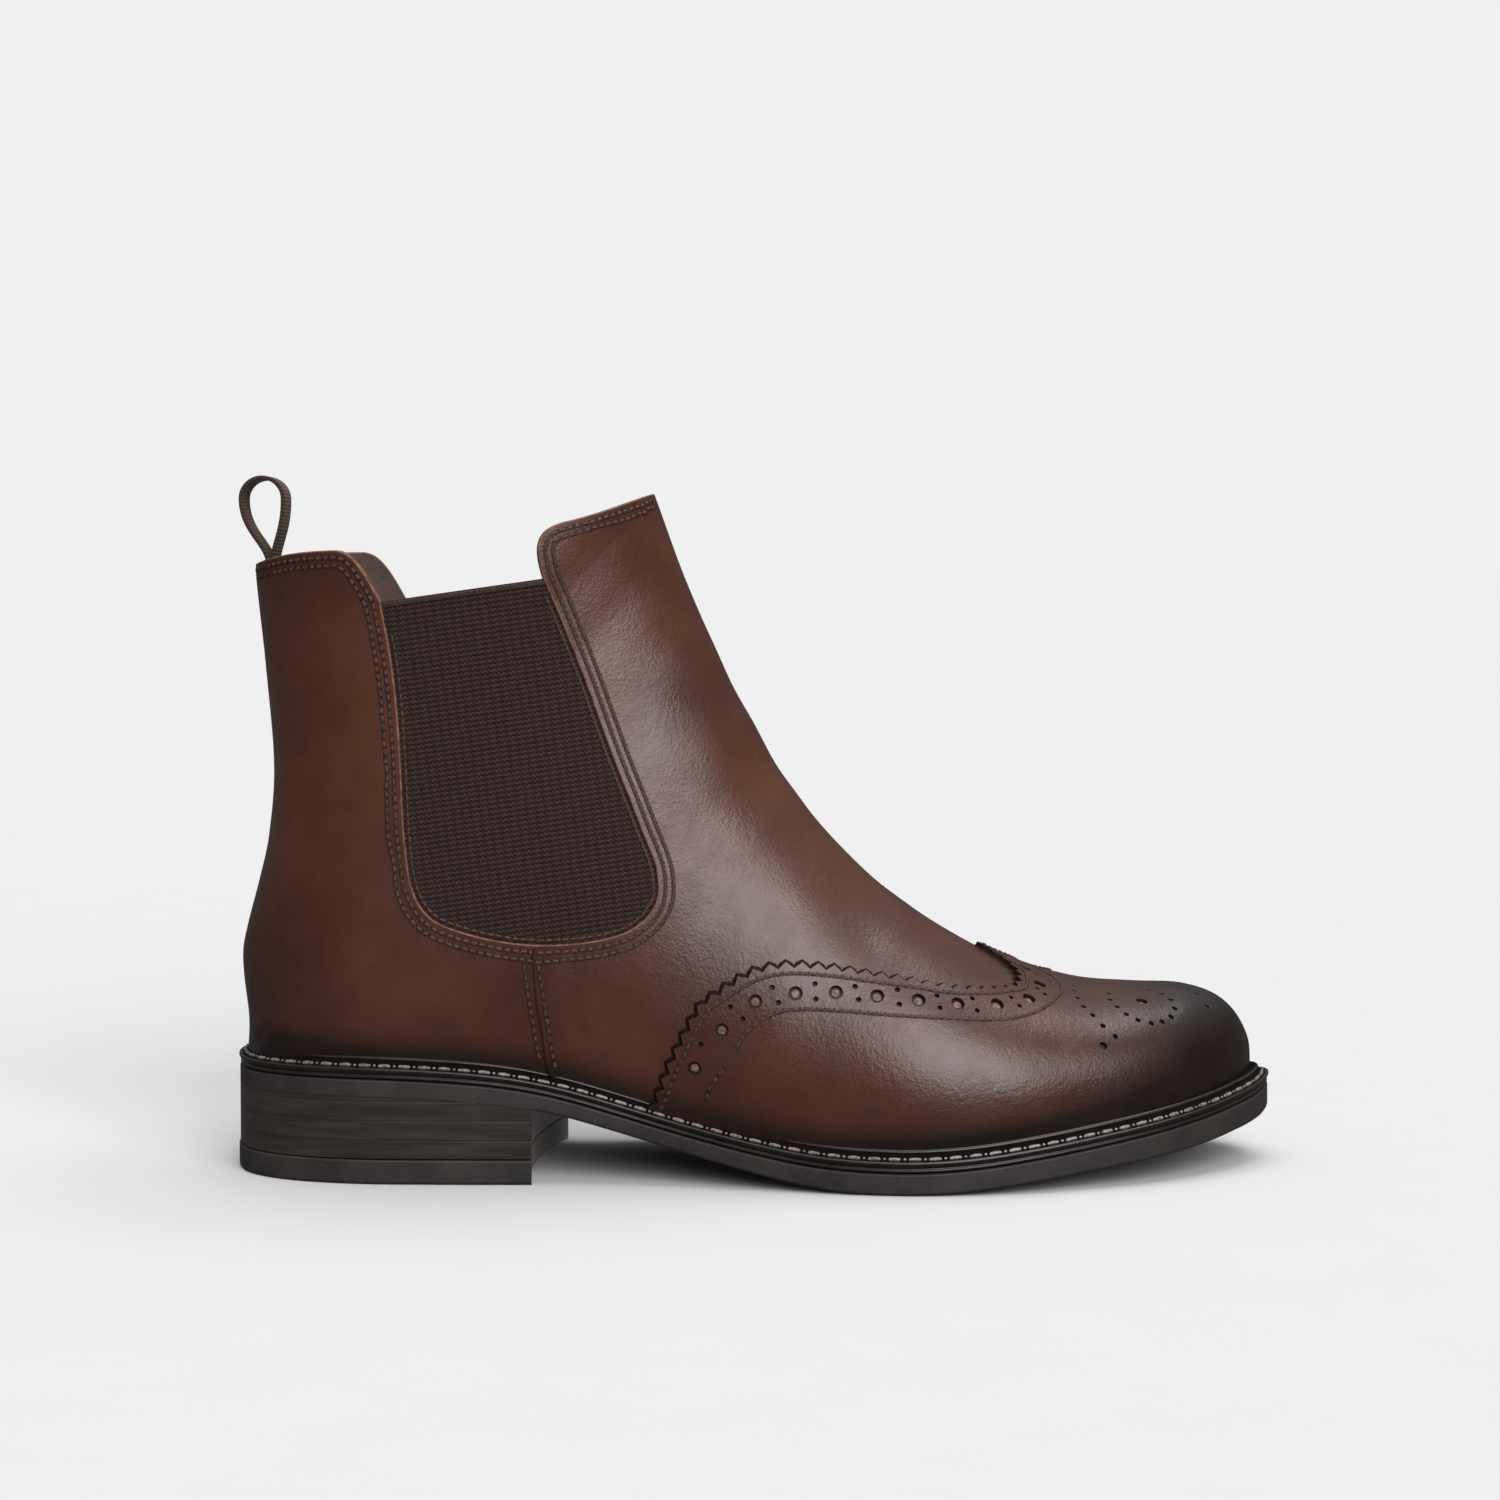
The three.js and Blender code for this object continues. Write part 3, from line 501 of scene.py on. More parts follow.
def relief(p):
    """Height in millimetres of the soft troughs and ridges at places on the upper."""
    height = np.zeros(len(p))
    for x, z, lean, length, width, depth in zip(*crease_rows.values()):
        turn = math.radians(lean)
        dx, dz = p[:, 0] - x, p[:, 2] - z
        along = dx * math.cos(turn) + dz * math.sin(turn)
        across = dz * math.cos(turn) - dx * math.sin(turn)
        height += crease_share * depth * np.exp(-(along / length) ** 2 - (across / width) ** 2)
    return height


def face(places, lift=0.0):
    """Places on the face of the upper in millimetres, raised by lift, and the directions that they face."""
    p, _, _, facing = last_slopes(places[:, 0], places[:, 1])
    slope = np.stack([relief(p + e) - relief(p - e) for e in np.eye(3) * 0.5], 1)
    slope -= facing * np.einsum("ij,ij->i", slope, facing)[:, None]
    return p + facing * (relief(p) + lift)[:, None], unit(facing - slope)


# The last laid out flat for cutting: lengths along the rows of sections, and one girth for all of them.
net_steps = np.linspace(0, top_row, 501)
net_length = sum(walked(last_point(net_steps, v)) for v in (0.1, 0.25, 0.4, 0.5)) / 4
net_girth = 190.0


def within(points, loops):
    """Which flat points lie inside the loops, by the odd and even crossings of a line to their left."""
    inside = np.zeros(len(points), bool)
    for a in loops:
        b = np.roll(a, -1, 0)
        rise = np.where(b[:, 1] == a[:, 1], 1e-9, b[:, 1] - a[:, 1])
        near = (points[:, 1] >= a[:, 1].min()) & (points[:, 1] <= a[:, 1].max())
        near &= (points[:, 0] >= a[:, 0].min()) & (points[:, 0] <= a[:, 0].max())
        spots = np.nonzero(near)[0]
        for start in range(0, len(spots), 4000):
            g = points[spots[start:start + 4000]]
            over = (a[:, 1] > g[:, 1:2]) != (b[:, 1] > g[:, 1:2])
            cross = a[:, 0] + (g[:, 1:2] - a[:, 1]) * (b[:, 0] - a[:, 0]) / rise
            inside[spots[start:start + 4000]] ^= (np.sum(over & (g[:, 0:1] < cross), axis=1) % 2).astype(bool)
    return inside


def net(loops, spacing):
    """Triangles inside loops of (at, v) places, the first one outside and the others holes."""
    flat = [np.stack([np.interp(loop[:, 0], net_steps, net_length), loop[:, 1] * net_girth], 1) for loop in loops]
    rim = np.vstack(flat)
    low, high = flat[0].min(0), flat[0].max(0)
    rows = np.arange(low[1], high[1], spacing * 0.87)
    grid = np.array([(a, b) for k, b in enumerate(rows)
                     for a in np.arange(low[0] + spacing * 0.5 * (k % 2), high[0], spacing)])
    grid = grid[within(grid, flat)]
    near = np.zeros(len(grid), bool)
    for start in range(0, len(grid), 2000):
        g = grid[start:start + 2000]
        d = (g[:, 0:1] - rim[:, 0]) ** 2 + (g[:, 1:2] - rim[:, 1]) ** 2
        near[start:start + 2000] = d.min(1) < (0.55 * spacing) ** 2
    grid = grid[~near]
    edges, first = [], 0
    for loop in flat:
        n = len(loop)
        edges += [(first + i, first + (i + 1) % n) for i in range(n)]
        first += n
    points = [tuple(p) for p in np.vstack([rim, grid])]
    out, _, faces, _, _, _ = delaunay_2d_cdt(points, edges, [], 2, 1e-6)
    out = np.array([tuple(p) for p in out])
    faces = np.array([f for f in faces if len(f) == 3])
    faces = faces[within(out[faces].mean(1), flat)]
    a, b, c = (out[faces[:, k]] for k in (0, 1, 2))
    turn = (b[:, 0] - a[:, 0]) * (c[:, 1] - a[:, 1]) - (b[:, 1] - a[:, 1]) * (c[:, 0] - a[:, 0])
    faces[turn > 0] = faces[turn > 0][:, ::-1]
    return np.stack([np.interp(out[:, 0], net_length, net_steps), out[:, 1] / net_girth], 1), faces


def part(verts, normals, faces, slot=0, uv=None):
    return {"verts": verts, "normals": normals, "faces": np.asarray(faces), "slot": slot,
            "uv": verts[:, [0, 2]] if uv is None else uv}


def sheet(rows, facings, slot=0, closed=False, flip=False, uv=None):
    """A part through rows of points of equal count, with the directions that they face."""
    wide = len(rows[0])
    i, k = np.meshgrid(np.arange(wide if closed else wide - 1), np.arange(len(rows) - 1))
    j = (i + 1) % wide
    faces = np.stack([k * wide + i, k * wide + j, (k + 1) * wide + j, (k + 1) * wide + i], -1).reshape(-1, 4)
    return part(np.vstack(rows), np.vstack(facings), faces[:, ::-1] if flip else faces, slot, uv)


def leaning(start, end, degrees):
    """Directions turned from one towards another."""
    return start * math.cos(math.radians(degrees)) + end * math.sin(math.radians(degrees))


def swept(here, facing, out, profile, slot=0, closed=False, flip=False):
    """A rim along a line of points. profile has rows of outward shift, height and turn in degrees."""
    return sheet([here + out * shift + facing * height for shift, height, _ in profile],
                 [leaning(facing, out, turn) for _, _, turn in profile], slot, closed, flip)


def wall(loop, profile, slot=0, inside=False):
    """A rim along a closed loop of (at, v) places."""
    here, facing = face(loop)
    out = np.cross(unit(np.roll(here, -1, 0) - np.roll(here, 1, 0)), facing) * (-1 if inside else 1)
    return swept(here, facing, out, profile, slot, True, not inside)


def turned_loop(loop):
    """A loop of (at, v) places put in the order in which the face lies to its left."""
    x, y = np.interp(loop[:, 0], net_steps, net_length), loop[:, 1] * net_girth
    area = np.sum(x * np.roll(y, -1) - y * np.roll(x, -1))
    return loop if area < 0 else loop[::-1]


def piece(name, parts, materials):
    """A mesh of parts, in metres, with its own directions, riding on the boot's one body."""
    verts, normals, uv = (np.vstack([p[key] for p in parts]) for key in ("verts", "normals", "uv"))
    faces, slots, first = [], [], 0
    for p in parts:
        faces += (p["faces"] + first).tolist()
        slots += [p["slot"]] * len(p["faces"])
        first += len(p["verts"])
    mesh = bpy.data.meshes.new(name)
    mesh.from_pydata((verts / 1000).tolist(), [], faces)
    for finish in materials:
        mesh.materials.append(finish)
    mesh.polygons.foreach_set("material_index", slots)
    corner = np.zeros(len(mesh.loops), int)
    mesh.loops.foreach_get("vertex_index", corner)
    mesh.uv_layers.new(name="millimetres").data.foreach_set("uv", (uv / 1000)[corner].ravel())
    mesh.normals_split_custom_set_from_vertices(unit(normals).tolist())
    made = bpy.data.objects.new(name, mesh)
    scene.collection.objects.link(made)
    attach(made, "root")
    return made


def linear(code):
    """An sRGB hex colour as linear red, green, blue and alpha."""
    parts = [int(code[k:k + 2], 16) / 255 for k in (1, 3, 5)]
    return tuple(c / 12.92 if c <= 0.04045 else ((c + 0.055) / 1.055) ** 2.4 for c in parts) + (1.0,)


def add(tree, kind, links=None, out=0, **settings):
    """One output of a new shader node with its settings. Its inputs are linked to sockets or set to values, and a
    hex colour is turned to linear."""
    node = tree.nodes.new("ShaderNode" + kind)
    for name, value in settings.items():
        setattr(node, name, value)
    for name, value in (links or {}).items():
        if isinstance(value, bpy.types.NodeSocket):
            tree.links.new(value, node.inputs[name])
        elif value is not None:
            node.inputs[name].default_value = linear(value) if isinstance(value, str) else value
    return node.outputs[out]


def material(name, roughness, specular=0.5, coat=0.0, coat_roughness=0.2, sheen=0.0):
    """A new material and its tree, with what is the same all over it set on its shader."""
    made = bpy.data.materials.new(name)
    made.use_nodes = True
    inputs = made.node_tree.nodes["Principled BSDF"].inputs
    for socket, value in (("Roughness", roughness), ("Specular IOR Level", specular), ("Coat Weight", coat),
                          ("Coat Roughness", coat_roughness), ("Sheen Weight", sheen)):
        inputs[socket].default_value = value
    return made, made.node_tree


def finished(made, sockets):
    """The material with its patterns linked to its shader."""
    for name, socket in sockets.items():
        made.node_tree.links.new(socket, made.node_tree.nodes["Principled BSDF"].inputs[name])
    return made


def parted(tree, pattern, low, high, first, second, share=1.0):
    """Two tones, parted softly where a pattern passes from low to high. share is how far the second one covers."""
    step = add(tree, "MapRange", {"Value": pattern, "From Min": low, "From Max": high, "To Max": share},
               interpolation_type="SMOOTHSTEP")
    return add(tree, "Mix", {0: step, 6: first, 7: second}, 2, data_type="RGBA")


def calf(name, body, deep, dark, gloss):
    """Full grain calf, aniline dyed and finished with wax by burnishing. The eye sees a soft gloss over fine pores and
    small wrinkles, and clouds of dye that darken at toe, heel and edges from the burnishing. The same darkening also
    holds painted
    shade: at the toe, low on the cap's sides, on the shaft and along the welt."""
    made, tree = material(name, gloss, 0.42, 0.12, 0.25)
    place = add(tree, "TexCoord", out="Object")
    clouds, mottle, swell, wrinkle = (
        add(tree, "TexNoise", {"Vector": place, "Scale": 1000 / size_mm, "Detail": detail, "Roughness": rough})
        for size_mm, detail, rough in ((42, 4, 0.6), (9, 5, 0.65), (14, 3, 0.5), (1.7, 4, 0.7)))
    pores = add(tree, "TexVoronoi", {"Vector": place, "Scale": 1000 / 0.75}, feature="F1")
    tone = parted(tree, clouds, 0.3, 0.7, deep, body)
    tone = parted(tree, mottle, 0.45, 0.8, tone, dark, 0.2)
    # Darkening kept on the mesh, partly burnishing and partly painted shade, mixes the tone towards dark.
    burnish_and_shade = add(tree, "Attribute", out="Fac", attribute_name="burnish_and_painted_shade")
    tone = add(tree, "Mix", {0: burnish_and_shade, 6: tone, 7: dark}, 2, data_type="RGBA")
    wax = add(tree, "MapRange", {"Value": mottle, "From Min": 0.3, "From Max": 0.8, "To Min": gloss - 0.05,
                                 "To Max": gloss + 0.09}, interpolation_type="SMOOTHSTEP")
    facing = None
    for height, depth_mm, strength in ((swell, 0.5, 0.25), (wrinkle, 0.2, 0.5), (pores, 0.07, 0.4)):
        facing = add(tree, "Bump", {"Height": height, "Distance": depth_mm / 1000, "Strength": strength,
                                    "Normal": facing})
    return finished(made, {"Base Color": tone, "Roughness": wax, "Normal": facing, "Coat Normal": facing})


def plain(name, light, dark, roughness, size_mm, depth_mm, specular=0.4, coat=0.0):
    """A finish of two tones in soft patches of a real size, with a fine relief of the same size."""
    made, tree = material(name, roughness, specular, coat)
    place = add(tree, "TexCoord", out="Object")
    patches = add(tree, "TexNoise", {"Vector": place, "Scale": 1000 / size_mm, "Detail": 4, "Roughness": 0.6})
    facing = add(tree, "Bump", {"Height": patches, "Distance": depth_mm / 1000, "Strength": 0.6})
    return finished(made, {"Base Color": parted(tree, patches, 0.35, 0.65, dark, light), "Normal": facing})


# Darkening spots of x, z, reach and weight: burnishing at toe, heel and collar, and painted shade at the toe, low on
# the cap's sides and on the shaft.
burnish_and_shade_rows = [(126, 28, 32, 0.95), (92, 18, 22, 0.45), (50, 14, 24, 0.3), (112, 46, 14, 0.35), (-128, 30, 26, 0.6),
                (-126, 60, 20, 0.25), (-60, 44, 16, 0.2), (-118, 150, 14, 0.3), (-30, 150, 12, 0.15),
                (-16, 118, 14, 0.25)]
# A band of painted shade on the upper just above the welt joint: its weight, and its start above the seat and its reach
# in millimetres.
welt_painted_shade, welt_shade_start, welt_shade_reach = 0.85, 2, 4.5


def burnish_and_painted_shade(made):
    """Darkening in spots of x, z, reach and weight and along the welt, kept for each corner of a mesh. The spots are
    partly burnishing and partly painted shade, and the band along the welt is painted shade.
    """
    mesh = made.data
    p = np.zeros(len(mesh.vertices) * 3)
    mesh.vertices.foreach_get("co", p)
    p = p.reshape(-1, 3) * 1000
    dark = np.zeros(len(p))
    for x, z, reach, weight in burnish_and_shade_rows:
        dark += weight * np.exp(-((p[:, 0] - x) ** 2 + (p[:, 2] - z) ** 2) / reach ** 2)
    above = p[:, 2] - seat(np.clip(p[:, 0], -131, 131)) - welt_shade_start
    dark += welt_painted_shade * np.exp(-(np.maximum(above, 0) / welt_shade_reach) ** 2)
    mesh.attributes.new("burnish_and_painted_shade", "FLOAT", "POINT").data.foreach_set("value", np.clip(dark, 0, 1))


leather = calf("burnished_calf", "#4c291b", "#3a1e14", "#180d0a", 0.34)
# Calf cut through its thickness: the paler middle of the hide, dull and a little rough.
edge_leather = plain("cut_leather_edge", "#75503d", "#4e3327", 0.6, 2.0, 0.1)
# Lining leather, dyed through and left unpolished: an even dark tan without gloss.
lining = plain("lining_leather", "#4b3327", "#3a271e", 0.6, 6.0, 0.08)

gore_rows = table("along up", """
    0 0.965
    0.044 0.771
    0.071 0.545
    0.089 0.292
    0.122 0.145
    0.182 0.077
    0.294 0.037
    0.529 0.002
    0.786 0.015
    0.907 0.048
    0.985 0.114
    0.993 0.201
    0.924 0.351
    0.826 0.545
    0.733 0.746
    0.642 0.929
    0.589 1.031""")
gore_setback, gore_long, gore_bottom, gore_high = 34.6, 68.8, 58.6, 87.0
quarter_corner, front_corner, upper_wall = 8.0, 9.0, 2.0
gore_edge = np.stack([last_x(-0.5) + gore_setback + gore_rows["along"] * gore_long,
                      gore_bottom + gore_rows["up"] * gore_high], 1)


def row_line(at, v):
    """Places along the rows of sections at one v."""
    return np.stack([at, np.full(len(at), float(v))], 1)


def bezier(points, count):
    """Places on a Bezier curve with three or four handles."""
    t = np.linspace(0, 1, count)[:, None]
    p = [np.asarray(q, float) for q in points]
    while len(p) > 1:
        p = [a + (b - a) * t for a, b in zip(p[:-1], p[1:])]
    return p[0]


def even(points, spacing):
    """A side-view line walked in even steps."""
    points = np.asarray(points, float)
    length = walked(points)
    steps = np.linspace(0, length[-1], max(2, int(length[-1] / spacing) + 1))
    return between(steps, length, points)


first, last = gore_edge[0], gore_edge[-1]
corner_top = shaft_height - 0.85 * front_corner
collar_start = [float(back_at(collar_back)), collar_back]
quarter_bend = [first[0] - 1.4 * quarter_corner, quarter_height]
quarter_top = np.vstack([
    bezier([collar_start, [first[0] - 3 * quarter_corner, quarter_height], quarter_bend], 20),
    bezier([quarter_bend, [first[0] - 0.85 * quarter_corner, quarter_height],
            [first[0] - 0.5 * quarter_corner, quarter_height - 0.65 * quarter_corner], first], 20)[1:],
])
gore_line = curve(gore_edge, np.linspace(0, 1, 200))
shaft_bend = [last[0] + 0.5 * front_corner, corner_top]
shaft_top = np.vstack([
    bezier([last, [last[0] - 0.3 * front_corner, last[1] + 0.9 * front_corner],
            [last[0] - 0.2 * front_corner, corner_top - 0.2 * front_corner], shaft_bend], 20),
    bezier([shaft_bend, [last[0] + 1.7 * front_corner, corner_top + 0.3 * front_corner],
            [last_x(-0.1), shaft_height]], 20)[1:],
])
collar = even(np.vstack([quarter_top, gore_line[1:-1], shaft_top]), 1.0)
collar_places = on_side(collar)
collar_places[-1, 1] = 0.5
collar_places[0, 1] = 0.0
round_collar = np.vstack([collar_places, mirrored(collar_places[-2::-1])])
toe_end = 0.02
toe_side = np.stack([np.full(60, toe_end), np.linspace(1, 0, 60)], 1)
back_steps = np.linspace(0, collar_places[0, 0], 160)[1:-1]
upper_loop = np.vstack([row_line(back_steps, 0), round_collar, row_line(back_steps[::-1], 1), toe_side])
places, faces = net([upper_loop], spacing=1.7)
verts, facing = face(places)
edge_profile = [(0, 0, 0), (0.18, -0.05, 30), (0.3, -0.2, 60), (0.35, -0.4, 90), (0.35, -1.5, 90),
                (0.25, -1.8, 130), (0, -upper_wall, 180)]
rim, rim_facing = face(round_collar)
outward = np.cross(rim_facing, unit(np.gradient(rim, axis=0)))
outward *= np.sign(np.sum(outward[:, 2]))
upper = piece("boot_upper", [
    part(verts, facing, faces), part(verts - facing * upper_wall, -facing, faces[:, ::-1], 2),
    swept(rim, rim_facing, outward, edge_profile, 1),
], [leather, edge_leather, lining])
burnish_and_painted_shade(upper)
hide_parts("upper")


# Wing cap: a second layer of calf over the toe, pinked along its edge and punched, then glued and stitched to the
# vamp. The large holes show the tan leather under them inside a ring of painted shade, and the small ones are painted
# dark as shade.
cap_height = 1.3
pinking, pink_depth = 3.9, 1.6
wing_foot = 9.72
wing_side = [(-23.7, 23), (-21.5, 28.8), (-17.8, 36.7), (-14.2, 43.3), (-10.3, 46.6), (-6.1, 49.3), (-0.8, 52.1),
             (6.3, 53.5), (14.1, 53.2), (22.2, 52.1), (30.3, 50.6), (38.2, 49.3), (46.4, 47.6), (55, 46.6), (61, 46.3)]
wing_top = [(65.2, -14.1), (65.6, -8.5), (63.9, -2.8), (60.6, 1.6), (56.0, 4.8)]
wing_places = np.vstack([[[wing_foot, 0.0]], on_side(wing_side), on_top(wing_top)])
wing_places[-1, 1] = 0.5
wing = Line(wing_places)


def toothed(line, pitch, depth):
    """A line cut in even teeth that point to its left."""
    teeth = round(line.length / pitch)
    s = np.linspace(0, line.length, teeth * 4 + 1)
    reach = np.array([-0.4, 0.1, 0.6, 0.1])[np.arange(len(s)) % 4] * depth
    reach[0] = reach[-1] = 0
    made = line.beside(s, reach)
    made[-1, 1] = 0.5
    return made


def circle(place, radius, count):
    """A round loop of places on the face."""
    _, along, _, facing = last_slopes(place[None, 0], place[None, 1])
    along = unit(along)
    turn = np.arange(count)[:, None] * 2 * math.pi / count
    around = along * np.cos(turn) + np.cross(facing, along) * np.sin(turn)
    return moved(np.repeat(place[None], count, 0), around * radius)


# Each hole is (place, radius, corners of its circle), and those with a radius over large_from show tan.
large_from = 1.2
large_holes = np.vstack([
    on_side([(-15.2, 29.3), (-8.6, 38.5), (-0.5, 45.3), (9.2, 47.2), (19.0, 47.3), (29.0, 46.2), (39.0, 45.1),
             (48.6, 43.9), (58.5, 43.1)]),
    on_top([(66.9, -20.4), (70.5, -11.3), (68.0, -1.6)])])
small_holes = np.vstack([
    on_side([(-6.6, 44), (-3.5, 41.2), (3.6, 48.6), (5.1, 45.1), (13.9, 49.3), (14.1, 45.8), (23.6, 48.5), (24.5, 45.5),
             (33.9, 47.5), (34.3, 44.3), (43.5, 45.8), (44.1, 43.2), (52.2, 44.7), (53.3, 42.1), (-13.7, 35.1)]),
    on_top([(62.2, -22.7), (64.1, -24.3), (69.5, -14.4), (71.3, -16.2), (70.2, -4.6), (73.3, -6.6)])])
swirl = on_top([(84.6, -26.0), (87.9, -23.2), (85.1, -21.7), (82.9, -19.3), (80.9, -16.8), (79.9, -13.2), (79.5, -9.0),
                (80.0, -4.9), (82.0, -1.2), (84.8, 1.9), (88.0, 4.2)])
curl = on_top([(88.6, -6.6), (88.4, -10.7), (89.8, -13.9), (91.7, -16.2), (94.4, -17.2), (97.7, -16.8), (100.6, -15.2),
               (103.2, -12.9), (104.6, -9.9), (104.3, -6.6), (102.5, -3.6), (99.6, -0.9), (96.4, 1.2), (93.2, 3.0)])
eye = on_top([(96.6, -9.3)])
tip = on_top([(108.5, 3.0), (111.5, 0.0), (113.5, -4.0)])
holes = [(p, 1.75, 18) for p in large_holes] + [(p, 0.72, 9) for p in small_holes]
holes += [(p, 0.78, 9) for p in np.vstack([swirl[1:], curl, tip])] + [(swirl[0], 1.1, 12), (eye[0], 1.5, 16)]
holes += [(mirrored(p), r, n) for p, r, n in holes]

edge_places = toothed(wing, pinking, pink_depth)
sole_steps = np.interp(np.arange(1.5, np.interp(wing_foot, net_steps, net_length), 1.5), net_length, net_steps)
cap_loop = turned_loop(np.vstack([
    edge_places, mirrored(edge_places[-2::-1]), row_line(sole_steps[::-1], 1), toe_side, row_line(sole_steps, 0)]))
rings = [turned_loop(circle(*hole)) for hole in holes]
places, faces = net([cap_loop] + rings, spacing=1.5)
verts, facing = face(places, cap_height)
cap_parts = [part(verts, facing, faces)]
# The wall's last rows lie on the vamp as a narrow strip of painted shadow along the pinked edge.
cap_parts.append(wall(cap_loop, [(0, cap_height, 0), (0.1, cap_height - 0.05, 40), (0.14, cap_height - 0.2, 90),
                                 (0.2, 0.3, 80), (0.35, 0.1, 40), (1.1, 0.03, 0)], 1))
for (place, radius, n), ring in zip(holes, rings):
    large = radius > large_from
    cap_parts.append(wall(ring, [(0, cap_height, 10), (0.08, cap_height - 0.12, 60), (0.1, cap_height - 0.3, 90),
                                 (0.1, 0.1, 90)], 2, inside=True))
    # Each hole's floor is a disc of painted shade, and a large hole gets a raised tan middle over it.
    base, up = face(ring, 0.12)
    middle, middle_up = face(place[None], 0.45 if large else 0.1)
    fan = np.stack([np.arange(n), (np.arange(n) + 1) % n, np.full(n, n)], 1)
    cap_parts.append(part(np.vstack([base, middle]), np.vstack([up, middle_up]), fan, 2))
    if large:
        inner = middle + (base - middle) * 0.55 + up * 0.2
        cap_parts.append(part(np.vstack([inner, middle + middle_up * 0.1]), np.vstack([up, middle_up]), fan, 3))
# Painted shade inside the holes: the punched walls, the floor round each large hole's tan middle, the whole floor
# of each small hole, and the needle holes of the seams. Near black, without gloss.
hole_shade = plain("punched_hole_painted_shade", "#26140f", "#140b08", 0.6, 2.0, 0.1)
# The leather under the holes, left undyed: a tan spot with a faint shine.
backing = plain("tan_backing_leather", "#80604e", "#4a3328", 0.45, 1.0, 0.3)
# The pinked edge, inked dark: a thin black line round each tooth, and a narrow strip of painted shadow that lies on
# the vamp along the teeth.
pinked_edge_and_shadow = plain("pinked_calf_edge_and_painted_shadow", "#1f110c", "#120907", 0.75, 1.5, 0.1, 0.12)
cap_leather = calf("burnished_cap_calf", "#48261a", "#361c13", "#170c09", 0.32)
wing_cap = piece("boot_wing_cap", cap_parts, [cap_leather, pinked_edge_and_shadow, hole_shade, backing])
burnish_and_painted_shade(wing_cap)
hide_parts("wing_cap")


# Seams: waxed polyester thread in a lockstitch, drawn a little into the leather, with a needle hole between each
# two stitches that is painted dark as shade. The front piece laps over the back one under the gore.
def capsules(middle, along, left, facing, long, thick, slot=0):
    """Short rounded threads, one at each middle, that lie along a seam."""
    middle, along, left, facing = (v[:, None, None] for v in (middle, along, left, facing))
    stations = (np.array([-0.5, -0.36, 0, 0.36, 0.5]) * long)[:, None, None]
    size = (np.array([0.25, 0.85, 1, 0.85, 0.25]) * thick)[:, None]
    sink = np.array([-0.30, -0.06, 0.0, -0.06, -0.30])[:, None]
    turn = np.arange(6) * math.pi / 3
    verts = (middle + along * stations + left * (size * np.cos(turn))[..., None] * 1.15
             + facing * (size * np.sin(turn) * 0.8 + sink)[..., None])
    out = left * np.cos(turn)[:, None] + facing * np.sin(turn)[:, None] + 0 * verts
    quads = np.array([(k * 6 + j, k * 6 + (j + 1) % 6, (k + 1) * 6 + (j + 1) % 6, (k + 1) * 6 + j)
                      for k in range(4) for j in range(6)])
    faces = (quads[None] + np.arange(len(middle))[:, None, None] * 30).reshape(-1, 4)
    return part(verts.reshape(-1, 3), out.reshape(-1, 3), faces, slot)


def needle_holes(middle, along, left, facing, wide):
    """Flat discs of painted shade at the needle holes, one at each middle."""
    turn = np.arange(6) * math.pi / 3
    disc = (middle[:, None] + along[:, None] * (np.cos(turn) * wide)[None, :, None]
            + left[:, None] * (np.sin(turn) * wide * 1.25)[None, :, None] + facing[:, None] * 0.03)
    faces = np.arange(6)[None] + np.arange(len(middle))[:, None] * 6
    return part(disc.reshape(-1, 3), np.repeat(facing, 6, 0), faces, 1)


def stitches(name, rows, pitch, thick, thread):
    """Threads and needle holes along rows of (line, height)."""
    parts = []
    for line, height in rows:
        count = int(line.length / pitch)
        for steps in (np.arange(count) + 0.5, np.arange(count + 1)):
            here, along, left, facing = line.frame(steps * line.length / count)
            middle, _ = face(here, height(last_point(here[:, 0], here[:, 1])) if callable(height) else height)
            if len(steps) == count:
                parts.append(capsules(middle, along, left, facing, pitch * 0.78, thick))
            else:
                parts.append(needle_holes(middle, along, left, facing, thick * 1.2))
    made = piece(name, parts, [thread, hole_shade])


def both_sides(places):
    return [Line(places), Line(mirrored(places))]


# Waxed polyester thread, twisted: a dull dark brown cord.
thread = plain("waxed_thread", "#54372a", "#32201a", 0.55, 0.6, 0.1, 0.25)
stitch_pitch, stitch_size = 2.05, 0.46
side_seam = np.array([(-54.9, 58.0), (-54.6, 54.1), (-53.9, 44.5), (-52.5, 36.0), (-50.9, 26.5)])
seam_top = 58.2


def over_lap(p):
    """Height of a stitch over the quarter, lifted where the front piece laps over it."""
    past = p[:, 0] - np.interp(p[:, 2], side_seam[::-1, 1], side_seam[::-1, 0])
    rise = np.interp(past, [0, 0.3, 3, 6, 9, 11], [0, 0.78, 0.76, 0.45, 0.12, 0])
    return 0.1 + rise * (p[:, 2] < seam_top)


collar_line = Line(collar_places[1:-1])
s = np.linspace(0, collar_line.length, 260)
rows = [(line, over_lap) for distance in (1.5, 3.5) for line in both_sides(collar_line.beside(s, -distance))]
for row in ([(-57.0, 54.5), (-56.2, 47.9), (-54.8, 39.0), (-53.2, 30.5)],
            [(-53.5, 54.5), (-52.3, 46.2), (-50.9, 37.3), (-49.2, 28.5)]):
    rows += [(line, over_lap) for line in both_sides(on_side(row))]
stitches("upper_stitches", rows, stitch_pitch, stitch_size, thread)

